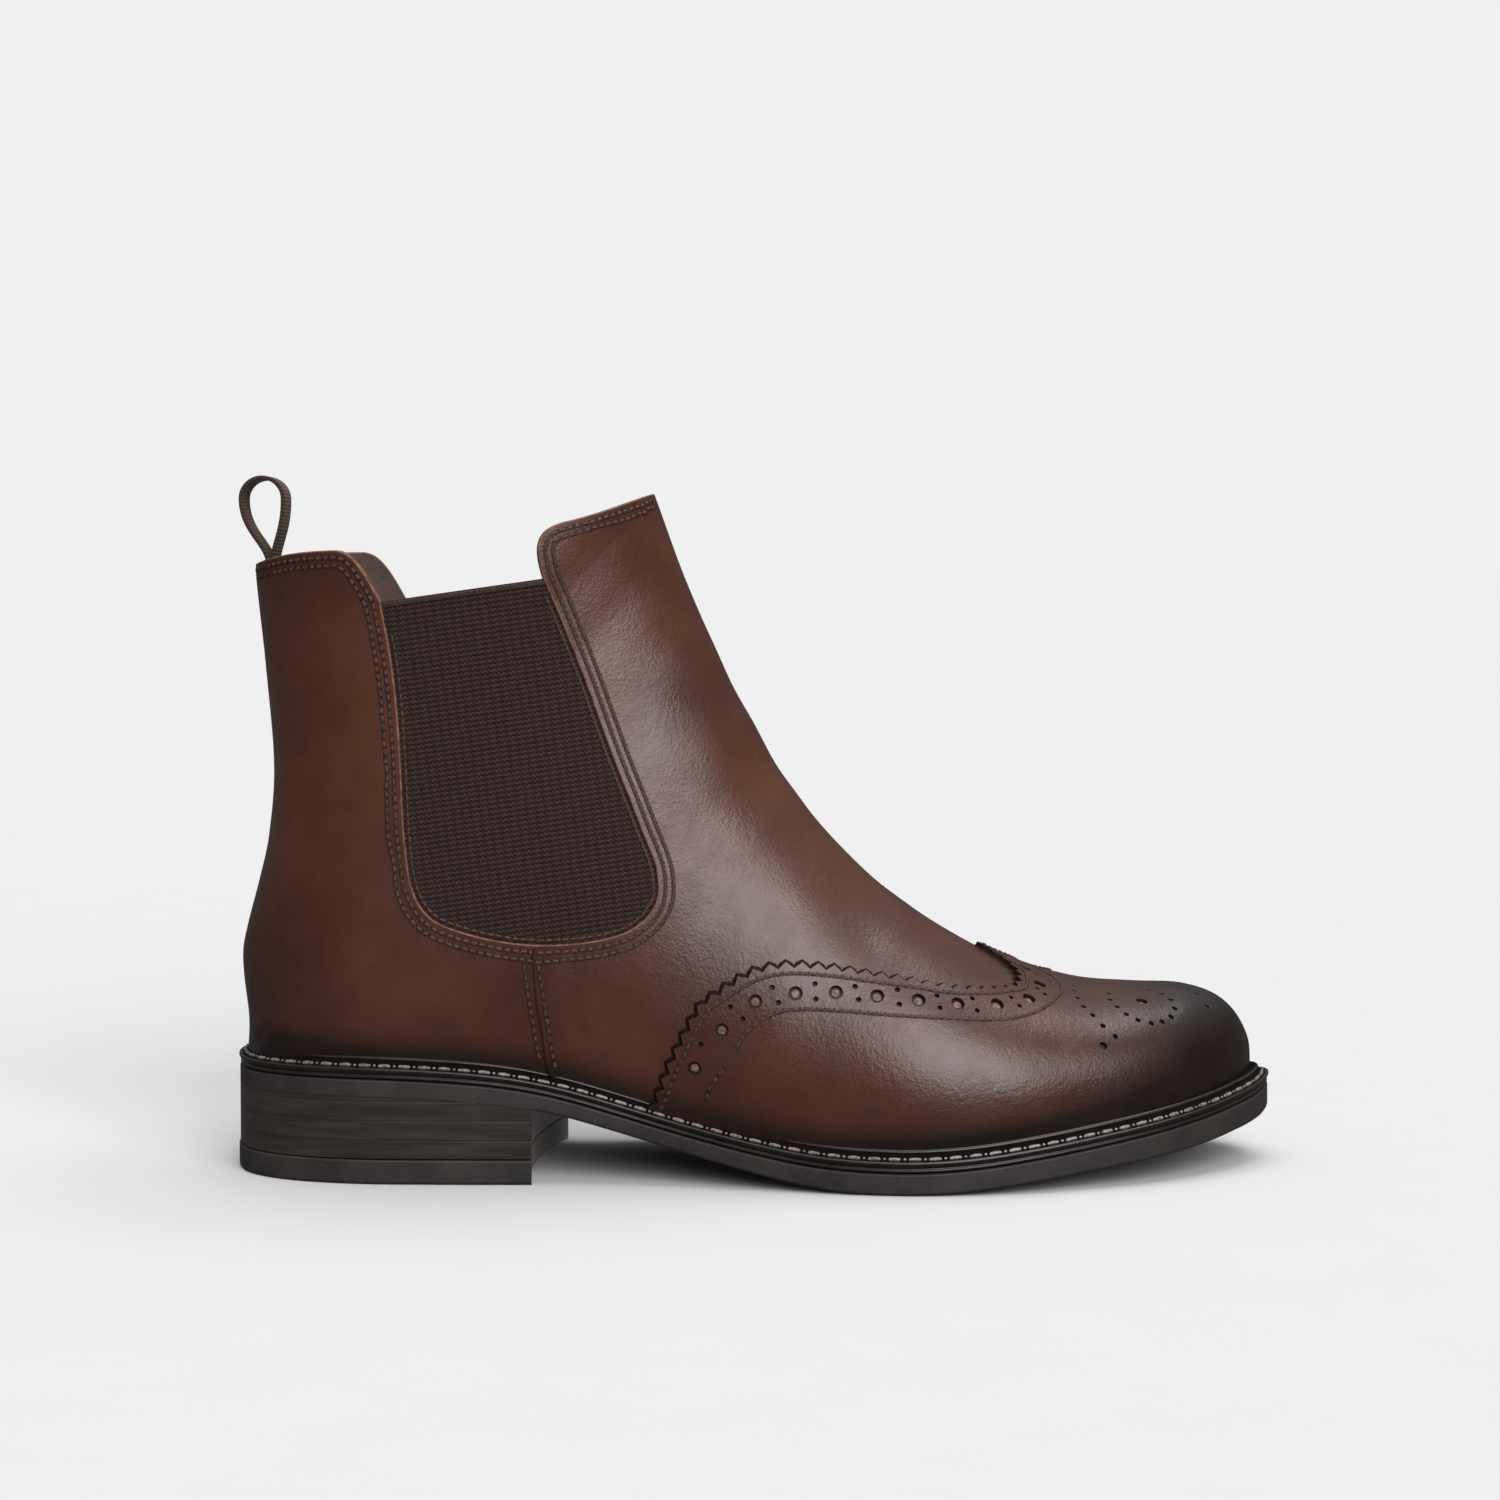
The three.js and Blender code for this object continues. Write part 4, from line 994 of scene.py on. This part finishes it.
outer_row = wing.beside(np.linspace(0, wing.length, 160), -1.9)
inner_low = on_side([(-12.2, 21.6), (-11.5, 24.5), (-7.9, 29.4)])
inner_high = np.vstack([
    on_side([(-4.9, 34.5), (-2.7, 37.9), (1.2, 41.1), (5.8, 43), (11.1, 43.5), (21.1, 43), (31, 42.1), (41, 41.3),
             (49.4, 40.6), (54.9, 40.1)]),
    on_top([(62.5, -28.2), (69.6, -22.9), (74.0, -16.4), (76.3, -9.5), (75.6, -3.0), (73.6, 2.2), (70.5, 6.0)])])
rows = [(line, cap_height + 0.06) for row in (outer_row, inner_low, inner_high) for line in both_sides(row)]
stitches("wing_stitches", rows, stitch_pitch, stitch_size, thread)

lap_line = Line(on_side(side_seam))
# The front piece's skived edge, as rows of shift, height and lean in degrees.
lap_profile = [(0.1, 0, -80), (0.05, 0.55, -70), (-0.15, 0.72, -30), (-0.5, 0.78, 0), (-3, 0.76, 0), (-6, 0.45, 6),
               (-9, 0.12, 6), (-11, -0.1, 3)]
s = np.linspace(0, lap_line.length, 40)
lap_parts = []
for flip in (False, True):
    lap_rows, facings = [], []
    for shift, height, lean in lap_profile:
        places = lap_line.beside(s, -shift)
        _, _, left, _ = lap_line.frame(s)
        if flip:
            places, left = mirrored(places), left * [1, -1, 1]
        p, up = face(places, height)
        lap_rows.append(p)
        facings.append(leaning(up, left, lean))
    lap_parts.append(sheet(lap_rows, facings, flip=flip))
lap = piece("front_piece_lap", lap_parts, [leather])
burnish_and_painted_shade(lap)


# Gores: woven elastic webbing in fine wavy ribs, sewn behind the leather's edge, with its top edge folded over
# and sewn down.
def waves(tree, along, pitch_mm, shift=0.0):
    """A wave of a real pitch along a coordinate, from -1 to 1."""
    turn = add(tree, "Math", {0: along, 1: 2 * math.pi * 1000 / pitch_mm, 2: shift}, operation="MULTIPLY_ADD")
    return add(tree, "Math", {0: turn}, operation="SINE")


def webbing():
    """Elastic woven of covered rubber and dyed yarn. The eye sees dull wavy ribs, broken at every second wave, and
    a little fuzz."""
    made, tree = material("elastic_webbing", 0.9, 0.12, sheen=0.06)
    place = add(tree, "UVMap", uv_map="millimetres")
    across, up = (add(tree, "SeparateXYZ", {"Vector": place}, axis) for axis in "XY")
    bend = add(tree, "Math", {0: waves(tree, across, 1.12), 1: 0.17 * 2 * math.pi}, operation="MULTIPLY")
    rib, cell = (add(tree, "Math", {0: wave, 1: 0.5, 2: 0.5}, operation="MULTIPLY_ADD")
                 for wave in (waves(tree, up, 1.22, bend), waves(tree, across, 2.24)))
    broken = add(tree, "Math", {0: cell, 1: 0.45, 2: 0.55}, operation="MULTIPLY_ADD")
    weave = add(tree, "Math", {0: rib, 1: broken}, operation="MULTIPLY")
    fuzz = add(tree, "TexNoise", {"Vector": place, "Scale": 1000 / 0.5, "Detail": 2, "Roughness": 0.6})
    tone = parted(tree, weave, 0.15, 0.85, "#1c1312", "#3a2a26")
    tone = parted(tree, fuzz, 0.5, 0.8, tone, "#4a3832", 0.3)
    height = add(tree, "Math", {0: fuzz, 1: 0.25, 2: weave}, operation="MULTIPLY_ADD")
    facing = add(tree, "Bump", {"Height": height, "Distance": 0.35 / 1000, "Strength": 0.8})
    return finished(made, {"Base Color": tone, "Normal": facing})


elastic = webbing()
# The elastic's own cloth, folded over its top edge: closer woven and a shade lighter.
hem_cloth = plain("folded_elastic_hem", "#3c2e29", "#261c19", 0.85, 0.6, 0.15, 0.2)
elastic_depth, elastic_thickness, hem, tuck = 0.7, 1.2, 1.5, 3.0
outward = np.gradient(gore_line, axis=0)
outward = unit(np.stack([-outward[:, 1], outward[:, 0]], 1))
outward *= np.sign(np.sum(outward[100] * (gore_line[100] - gore_line.mean(0))))
gore_outer = gore_line + outward * tuck
top_way = unit(last - first)
top_up = np.array([-top_way[1], top_way[0]])
gore_outer = gore_outer[(gore_outer - first) @ top_up < -0.2]
gore_top = np.array([end - top_up * ((end - first) @ top_up) for end in (gore_outer[0], gore_outer[-1])])
gore_side = even(np.vstack([gore_outer, gore_top[::-1], gore_outer[:1]]), 1.2)[:-1]
edge_side = even(gore_top + [-top_way * 0.2, top_way * 0.2], 1.0)
# The fold over the top edge, as rows of rise, height and lean in degrees.
hem_profile = [(-hem - 0.1, -0.15, 200), (-hem, 0.28, 150), (-hem + 0.4, 0.36, 100), (-0.8, 0.36, 90),
               (-0.2, 0.15, 50), (0.1, -0.5, 0), (-0.1, -1.3, -60), (-0.9, -1.7, -90), (-hem, -1.7, -90)]
rising = np.array([top_up[0], 0, top_up[1]])
places, faces = net([on_side(gore_side)], spacing=1.6)
for node, flip in (("gore_lateral", False), ("gore_medial", True)):
    turned = faces[:, ::-1] if flip else faces
    outer, up = face(mirrored(places) if flip else places, -elastic_depth)
    side_view = outer[:, [0, 2]] - first
    rib_uv = np.stack([side_view @ top_way, side_view @ top_up], 1)
    parts = [part(outer, up, turned, 0, rib_uv),
             part(outer - up * elastic_thickness, -up, turned[:, ::-1], 0, rib_uv)]
    hem_rows, facings = [], []
    for rise, height, lean in hem_profile:
        spot = on_side(edge_side + top_up * rise)
        p, out = face(mirrored(spot) if flip else spot, height - elastic_depth)
        hem_rows.append(p)
        facings.append(leaning(rising, out, lean))
    gore = piece("boot_" + node, parts + [sheet(hem_rows, facings, 1, flip=flip)], [elastic, hem_cloth])
    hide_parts(node)
gore_row = on_side(even(gore_line[6:-6] - outward[6:-6] * 1.4, 3.0))
rows = [(line, 0.08 - elastic_depth) for line in both_sides(gore_row)]
stitches("gore_stitches", rows, stitch_pitch, 0.34, thread)


# Pull loop: woven ribbon folded in a teardrop, its two ends sewn inside the back of the collar.
def strip(rows, slot=0, closed=True, uv=None):
    """A smooth sheet through rows of points of equal count."""
    grid = np.array(rows, float)
    along = np.roll(grid, -1, 1) - np.roll(grid, 1, 1) if closed else np.gradient(grid, axis=1)
    return sheet(grid, np.cross(along, np.gradient(grid, axis=0)), slot, closed, uv=uv)


loop_width, loop_thickness, loop_bulge, loop_rise, loop_tail, loop_lean = 11.0, 1.0, 11.6, 22.8, 8.0, 2.0
loop_foot, loop_neck, loop_top = collar_back - loop_tail, collar_back + seam, collar_back + loop_rise
neck_x = float(back_at(loop_foot)) + upper_wall + seam + 1.3


def teardrop(half, waist):
    """The ribbon's line in side view, from the outer tail round the bend to the inner tail."""
    lift, middle = loop_top - loop_bulge / 2, neck_x - loop_lean
    bend = np.linspace(math.pi, 0, 40)
    return np.vstack([
        even([[neck_x - waist, loop_foot], [neck_x - waist, loop_neck]], 0.8)[:-1],
        bezier([[neck_x - waist, loop_neck], [neck_x - waist, loop_neck + half], [middle - half, lift - 1.6 * half],
                [middle - half, lift]], 30)[:-1],
        np.stack([middle + half * np.cos(bend), lift + half * np.sin(bend)], 1),
        bezier([[middle + half, lift], [middle + half, lift - 1.6 * half], [neck_x + waist, loop_neck + half],
                [neck_x + waist, loop_neck]], 30)[1:],
        even([[neck_x + waist, loop_neck], [neck_x + waist, loop_foot]], 0.8)[1:]])


middle_line = teardrop(loop_bulge / 2 - loop_thickness / 2, loop_thickness / 2)
ahead = unit(np.gradient(middle_line, axis=0))
away = np.stack([-ahead[:, 1], ahead[:, 0]], 1)
ribbon_walk = walked(middle_line)


def grosgrain(name, light, dark):
    """Ribbon woven of twisted yarn with a cord in each rib: fine ribs across it, with a faint sheen."""
    made, tree = material(name, 0.65, 0.25, sheen=0.06)
    place = add(tree, "UVMap", uv_map="millimetres")
    wave = waves(tree, add(tree, "SeparateXYZ", {"Vector": place}, "X"), 0.9)
    rib = add(tree, "Math", {0: wave, 1: 0.5, 2: 0.5}, operation="MULTIPLY_ADD")
    fuzz = add(tree, "TexNoise", {"Vector": place, "Scale": 1000 / 0.6, "Detail": 3, "Roughness": 0.6})
    # The rib crests are painted lighter than their valleys: painted light on each rib, under random fuzz.
    lit = add(tree, "Math", {0: wave, 1: 0.3, 2: 0.3}, operation="MULTIPLY_ADD")
    lit = add(tree, "Math", {0: fuzz, 1: 0.4, 2: lit}, operation="MULTIPLY_ADD")
    tone = add(tree, "Mix", {0: lit, 6: dark, 7: light}, 2, data_type="RGBA")
    facing = add(tree, "Bump", {"Height": rib, "Distance": 0.22 / 1000, "Strength": 0.7})
    return finished(made, {"Base Color": tone, "Normal": facing})


# The ribbon's section, as rows of (away from its middle line, across the boot), once for each side.
wide, thick = loop_width / 2, loop_thickness / 2
ribbon_face = [(thick, wide - 0.5), (thick, 0), (thick, 0.5 - wide)]
selvedge = [(thick, 0.5 - wide), (thick, 0.2 - wide), (thick * 0.6, -wide), (-thick * 0.6, -wide),
            (-thick, 0.2 - wide), (-thick, 0.5 - wide)]
ribbon_parts = []
for slot, section in enumerate((ribbon_face, selvedge)):
    for side in (1, -1):
        rows = [np.column_stack([middle_line[:, 0] + away[:, 0] * a * side, np.full(len(middle_line), b * side),
                                 middle_line[:, 1] + away[:, 1] * a * side]) for a, b in section]
        uv = np.vstack([np.column_stack([ribbon_walk, np.full(len(ribbon_walk), b * side)]) for _, b in section])
        ribbon_parts.append(strip(rows, slot, False, uv))
ribbon = grosgrain("woven_ribbon", "#5c3d2f", "#33221b")
ribbon_edge = grosgrain("ribbon_selvedge", "#3a2a25", "#231916")
pull_loop = piece("boot_pull_loop", ribbon_parts, [ribbon, ribbon_edge])
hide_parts("pull_loop")


# Welt: a moulded rubber ring with a bead along its edge, a channel of moulded stitches and a lip that hides the
# joint with the upper.
rim_plan = outline(720)


def raised(plan, height):
    """A plan line laid on a height that changes along the boot."""
    return np.column_stack([plan, height(plan[:, 0])])


def ring(distance, height):
    """The sole's outline moved inward and laid on a height."""
    return raised(inset(rim_plan, distance), height)


moulded_pitch = 4.9
welt_profile = [(0.9, -3.0), (0.6, -2.92), (0.42, -2.65), (0.5, -2.35), (0.8, -2.15), (0.85, -1.92), (0.5, -1.65),
                (0.15, -1.35), (0.02, -0.95), (0.08, -0.6), (0.32, -0.38), (0.66, -0.36), (0.9, -0.5), (1.08, -0.46),
                (1.6, 0.02), (2.1, 0.5), (2.4, 0.68), (2.58, 0.82), (2.62, 1.2), (2.66, 1.6), (2.78, 1.9), (3.1, 2.15),
                (3.8, 2.2), (4.4, 2.35), (5.4, 2.2), (7.5, 2.0)]
welt_rows = [ring(d, lambda x, h=h: welt_top(x) + h) for d, h in welt_profile]
# The channel and the flat behind the lip take the third finish: painted shade.
welt_parts = [strip(welt_rows[:13]), strip(welt_rows[12:20], 2), strip(welt_rows[19:22]), strip(welt_rows[21:], 2)]
channel = ring(1.6, lambda x: welt_top(x) + 0.12)
channel = np.vstack([channel, channel[:1]])
channel_length = walked(channel)
count = round(channel_length[-1] / moulded_pitch)
for offset, long, thick in ((0.0, 3.3, 0.5), (0.5, 0.7, 0.34)):
    s = (np.arange(count) + offset) * channel_length[-1] / count
    middle, ahead = (between(at % channel_length[-1], channel_length, channel) for at in (s, s + 1))
    along = unit(ahead - middle)
    up = np.cross(along, [[0, 0, 1.0]]) * 0.7 + [[0, 0, 0.7]]
    up = unit(up - along * np.sum(up * along, axis=1, keepdims=True))
    welt_parts.append(capsules(middle, along, np.cross(up, along), up, long, thick, 1))
# Moulded rubber, polished along its lip: near black with a thin bright line.
welt_rubber = plain("moulded_welt_rubber", "#1b1514", "#120e0d", 0.3, 5.0, 0.05, 0.4, 0.12)
# The same rubber's stitches, painted pale as a painted highlight, and glossy: a row of light specks.
welt_stitch_highlight = plain("moulded_welt_stitch_painted_highlight", "#7d736e", "#4a423f", 0.22, 1.0, 0.05, 0.5, 0.4)
# The channel, the lip's outer foot and the joint behind the lip, painted darker as shade and matt: black without any
# shine.
welt_joint = plain("welt_joint_in_shade", "#120d0c", "#0b0807", 0.9, 5.0, 0.05, 0.05)
welt = piece("boot_welt", welt_parts, [welt_rubber, welt_stitch_highlight, welt_joint])
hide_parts("welt")


# Outsole: one moulded rubber sole from heel to toe, matt at its side, with fine tread across the forefoot. It is
# cemented under the welt.
def middle_y(x):
    return np.interp(x, sole_rows["along"] * sole_length, (sole_rows["lateral"] + sole_rows["medial"]) / 2 * ball_width)


def belly(loop, height):
    """Rows that fill a plan loop from its middle line out to its edge."""
    middle = middle_y(loop[:, 0])
    return [raised(np.column_stack([loop[:, 0], middle + (loop[:, 1] - middle) * share]), height)
            for share in (0, 0.2, 0.4, 0.6, 0.8, 0.93, 1)]


def painted_light_on_forward_faces(tree, tone, lit):
    """A face that looks towards the toe is painted paler: painted light on the heel's breast."""
    ahead = add(tree, "SeparateXYZ", {"Vector": add(tree, "NewGeometry", out="Normal")}, "X")
    return parted(tree, ahead, 0.5, 0.9, tone, lit)


def rubber(name, light, dark, roughness, tread=0.0, breast_painted_light=None):
    """Moulded rubber, matt from its mould. The eye sees an even near black with fine light specks, and ribs of
    tread where asked. Where asked, faces towards the toe are painted paler as painted light."""
    made, tree = material(name, roughness, 0.4)
    place = add(tree, "TexCoord", out="Object")
    patches, grain = (
        add(tree, "TexNoise", {"Vector": place, "Scale": 1000 / size_mm, "Detail": detail, "Roughness": 0.6})
        for size_mm, detail in ((12, 4), (0.6, 3)))
    tone = parted(tree, patches, 0.3, 0.7, dark, light)
    tone = parted(tree, grain, 0.68, 0.74, tone, "#5c5654")
    # Painted light: faces towards the toe, such as the breast, are painted paler.
    if breast_painted_light:
        tone = painted_light_on_forward_faces(tree, tone, breast_painted_light)
    facing = add(tree, "Bump", {"Height": grain, "Distance": 0.08 / 1000, "Strength": 0.5})
    if tread:
        x, y = (add(tree, "SeparateXYZ", {"Vector": place}, axis) for axis in "XY")
        bend = add(tree, "Math", {0: waves(tree, y, 9), 1: 0.35}, operation="MULTIPLY")
        rib = add(tree, "MapRange", {"Value": waves(tree, x, tread, bend), "From Min": -0.5, "From Max": 0.2},
                  interpolation_type="SMOOTHSTEP")
        facing = add(tree, "Bump", {"Height": rib, "Distance": 0.8 / 1000, "Strength": 0.8, "Normal": facing})
    return finished(made, {"Base Color": tone, "Normal": facing})


def edge_round(x):
    """The rounding of the sole's lower edge, which ends where the heel stands under it."""
    return 0.9 * (0.08 + 0.92 * smooth(x, -58, -52))


sole_edge = 0.3
rounding = edge_round(rim_plan[:, 0])
outsole_side = [ring(sole_edge + rounding * inward, lambda x, up=up: sole_bottom(x) + edge_round(x) * up)
                for inward, up in ((1, 0), (0.5, 0.13), (0.13, 0.5), (0, 1))]
outsole_side += [ring(sole_edge, lambda x: outsole_top(x) - 0.5),
                 ring(sole_edge + 0.12, lambda x: outsole_top(x) - 0.2), ring(0.9, outsole_top)]
outsole = piece("boot_outsole", [
    strip(outsole_side), strip(belly(inset(rim_plan, sole_edge + rounding), sole_bottom), 1),
    strip(belly(inset(rim_plan, 0.9), outsole_top)[::-1]),
], [rubber("outsole_rubber", "#2c2624", "#211c1b", 0.55), rubber("outsole_tread", "#2a2423", "#1d1918", 0.6, 4.2)])
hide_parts("outsole")


# Heel: lifts of leather board glued in a stack, ground flush with the sole and inked dark, with a hollow breast,
# over a rubber top lift.
toplift, breast_from_back, breast_hollow, breast_skew = 6.0, 76.5, 3.5, 2.6
breast_x = breast_from_back - sole_length / 2
heel_middle = np.array([-97.0, 0.0])


def heel_back(distance):
    """The heel's plan outline from the inner end of the breast round the back to its outer end."""
    loop = inset(rim_plan, distance)
    inner_x = breast_x + 2 * breast_skew
    keep = loop[:, 0] < np.where(loop[:, 1] < 0, breast_x, inner_x)
    start = np.nonzero(~keep)[0][-1] + 1
    walk, n = np.roll(loop, 1 - start, 0), keep.sum()
    ends = [a + (b - a) * (x - a[0]) / (b[0] - a[0])
            for a, b, x in ((walk[0], walk[1], inner_x), (walk[n], walk[n + 1], breast_x))]
    return even(np.vstack([ends[0], walk[1:n + 1], ends[1]]), 1.0)


def breast(back):
    """The heel's hollow front from its outer to its inner end."""
    return bezier([back[-1], [breast_x - 2 * breast_hollow + breast_skew, 0], back[0]], 60)


def heel_parts(levels):
    """The back and the breast of a heel layer. levels has rows of inset and height."""
    count = len(heel_back(0.3))
    backs, breasts = [], []
    for distance, height in levels:
        walk = heel_back(distance)
        spread = np.linspace(0, len(walk) - 1, count)
        back = between(spread, np.arange(len(walk)), walk)
        for rows, plan in ((backs, back), (breasts, breast(back))):
            rows.append(raised(plan, height))
    return [strip(backs, 0, False), strip(breasts, 0, False)]


def heel_cover(distance, height, slot=0, down=False):
    """A cover of the heel's plan at a height."""
    back = heel_back(distance)
    loop = np.vstack([back, breast(back)[1:-1]])
    rows = [raised(heel_middle + (loop - heel_middle) * share, height) for share in (0.02, 0.35, 0.7, 0.95, 1)]
    return strip(rows if down else rows[::-1], slot)


def flat(z):
    """A height that is the same all along the boot."""
    return lambda x: np.full(len(x), z)


def stacked_board():
    """Heel board, inked and waxed. The eye sees faint lift joints 4.8 mm apart and fine streaks along them, under
    a soft gloss. Its breast, which faces the toe, is painted paler as painted light."""
    made, tree = material("inked_heel_board", 0.38, 0.45, 0.12, 0.3)
    place = add(tree, "TexCoord", out="Object")
    stretched = add(tree, "Mapping", {"Vector": place, "Scale": (1, 1, 14)})
    streaks = add(tree, "TexNoise", {"Vector": stretched, "Scale": 1000 / 26, "Detail": 4, "Roughness": 0.6})
    wave = waves(tree, add(tree, "SeparateXYZ", {"Vector": place}, "Z"), 4.8)
    tone = parted(tree, streaks, 0.35, 0.7, "#231d1b", "#322b28")
    # The breast, facing the toe, is painted paler: painted light.
    tone = painted_light_on_forward_faces(tree, parted(tree, wave, 0.93, 1.0, tone, "#141010", 0.22), "#8a827e")
    level = add(tree, "MapRange", {"Value": wave, "From Min": 0.93, "From Max": 1.0, "To Min": 1.0, "To Max": 0.0},
                interpolation_type="SMOOTHSTEP")
    facing = add(tree, "Bump", {"Height": streaks, "Distance": 0.1 / 1000, "Strength": 0.5})
    facing = add(tree, "Bump", {"Height": level, "Distance": 0.08 / 1000, "Strength": 0.5, "Normal": facing})
    return finished(made, {"Base Color": tone, "Normal": facing})


stack_levels = [(0.45, flat(toplift + 0.3)), (0.3, flat(toplift + 0.6)),
                (0.3, lambda x: toplift + (sole_bottom(x) - toplift) * 0.5), (0.3, lambda x: sole_bottom(x) - 0.02)]
heel_stack = piece("boot_heel_stack", heel_parts(stack_levels) + [
    heel_cover(*stack_levels[0], down=True), heel_cover(*stack_levels[-1])], [stacked_board()])
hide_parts("heel_stack")

lift_levels = [(0.9, flat(0.0)), (0.42, flat(0.1)), (0.1, flat(0.42)), (0.0, flat(0.9)),
               (0.0, flat(toplift - 0.5)), (0.12, flat(toplift - 0.12)), (0.5, flat(toplift))]
# The toplift's breast, facing the toe, is painted paler: painted light.
heel_toplift = piece("boot_heel_toplift", heel_parts(lift_levels) + [
    heel_cover(*lift_levels[0], 1, down=True), heel_cover(*lift_levels[-1])], [
    rubber("toplift_rubber", "#2c2725", "#1f1b1a", 0.6, breast_painted_light="#8a827e"),
    rubber("toplift_tread", "#2a2524", "#1d1918", 0.65, 3.0)])
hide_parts("heel_toplift")


# Insole: a board covered with smooth tan lining leather and pressed a little by the foot, laid in over the bottom
# filling. The solid's shape is right. The leather is dull and softly mottled.
insole_leather = plain("insole_leather", "#9a7654", "#7f5f43", 0.55, 9.0, 0.12)
for slot in bpy.data.objects["insole"].material_slots:
    slot.material = insole_leather


# Floor and light: a pale paper floor that runs on without end, under a soft overhead sky with one broad soft
# light from the front and one from above and behind. The paper is evenly lit, so it meets the backdrop unseen.
floor_mesh = bpy.data.meshes.new("floor")
floor_mesh.from_pydata([(-60, -30, 0), (60, -30, 0), (60, 120, 0), (-60, 120, 0)], [], [(0, 1, 2, 3)])
floor = bpy.data.objects.new("floor", floor_mesh)
scene.collection.objects.link(floor)
paper, tree = material("pale_paper", 1.0, 0.0)
fibre = add(tree, "TexNoise", {"Vector": add(tree, "TexCoord", out="Object"), "Scale": 1000 / 30, "Detail": 3,
                               "Roughness": 0.6})
finished(paper, {"Base Color": add(tree, "Mix", {0: fibre, 6: "#c0c0c0", 7: "#c2c2c2"}, 2, data_type="RGBA")})
floor_mesh.materials.append(paper)
floor.visible_glossy = False

world = bpy.data.worlds.new("studio")
world.use_nodes = True
tree = world.node_tree
backdrop = tree.nodes["Background"]
backdrop.inputs["Color"].default_value = linear("#f0f0f0")
height = add(tree, "SeparateXYZ", {"Vector": add(tree, "TexCoord", out="Generated")}, "Z")
brightness = add(tree, "MapRange", {"Value": height, "From Min": 0.15, "From Max": 0.95, "To Min": 0.1,
                                    "To Max": 0.6}, interpolation_type="SMOOTHSTEP")
sky = add(tree, "Background", {"Color": "#ffffff", "Strength": brightness})
seen = add(tree, "LightPath", out="Is Camera Ray")
both = add(tree, "MixShader", {0: seen, 1: sky, 2: backdrop.outputs[0]})
tree.links.new(both, tree.nodes["World Output"].inputs["Surface"])
scene.world = world


def soft_light(name, toward, strength, spread):
    """A broad light from a direction, the same all over the set."""
    data = bpy.data.lights.new(name, "SUN")
    data.energy, data.angle = strength, math.radians(spread)
    made = bpy.data.objects.new(name, data)
    made.rotation_mode = "QUATERNION"
    made.rotation_quaternion = Vector(toward).to_track_quat("Z", "Y")
    made.location = np.array(toward) * 2
    scene.collection.objects.link(made)


soft_light("front_softbox", (0.33, -0.8, 0.54), 3.0, 46)
soft_light("top_softbox", (0.1, 0.1, 1.0), 2.2, 45)

scene.view_settings.view_transform = "Standard"
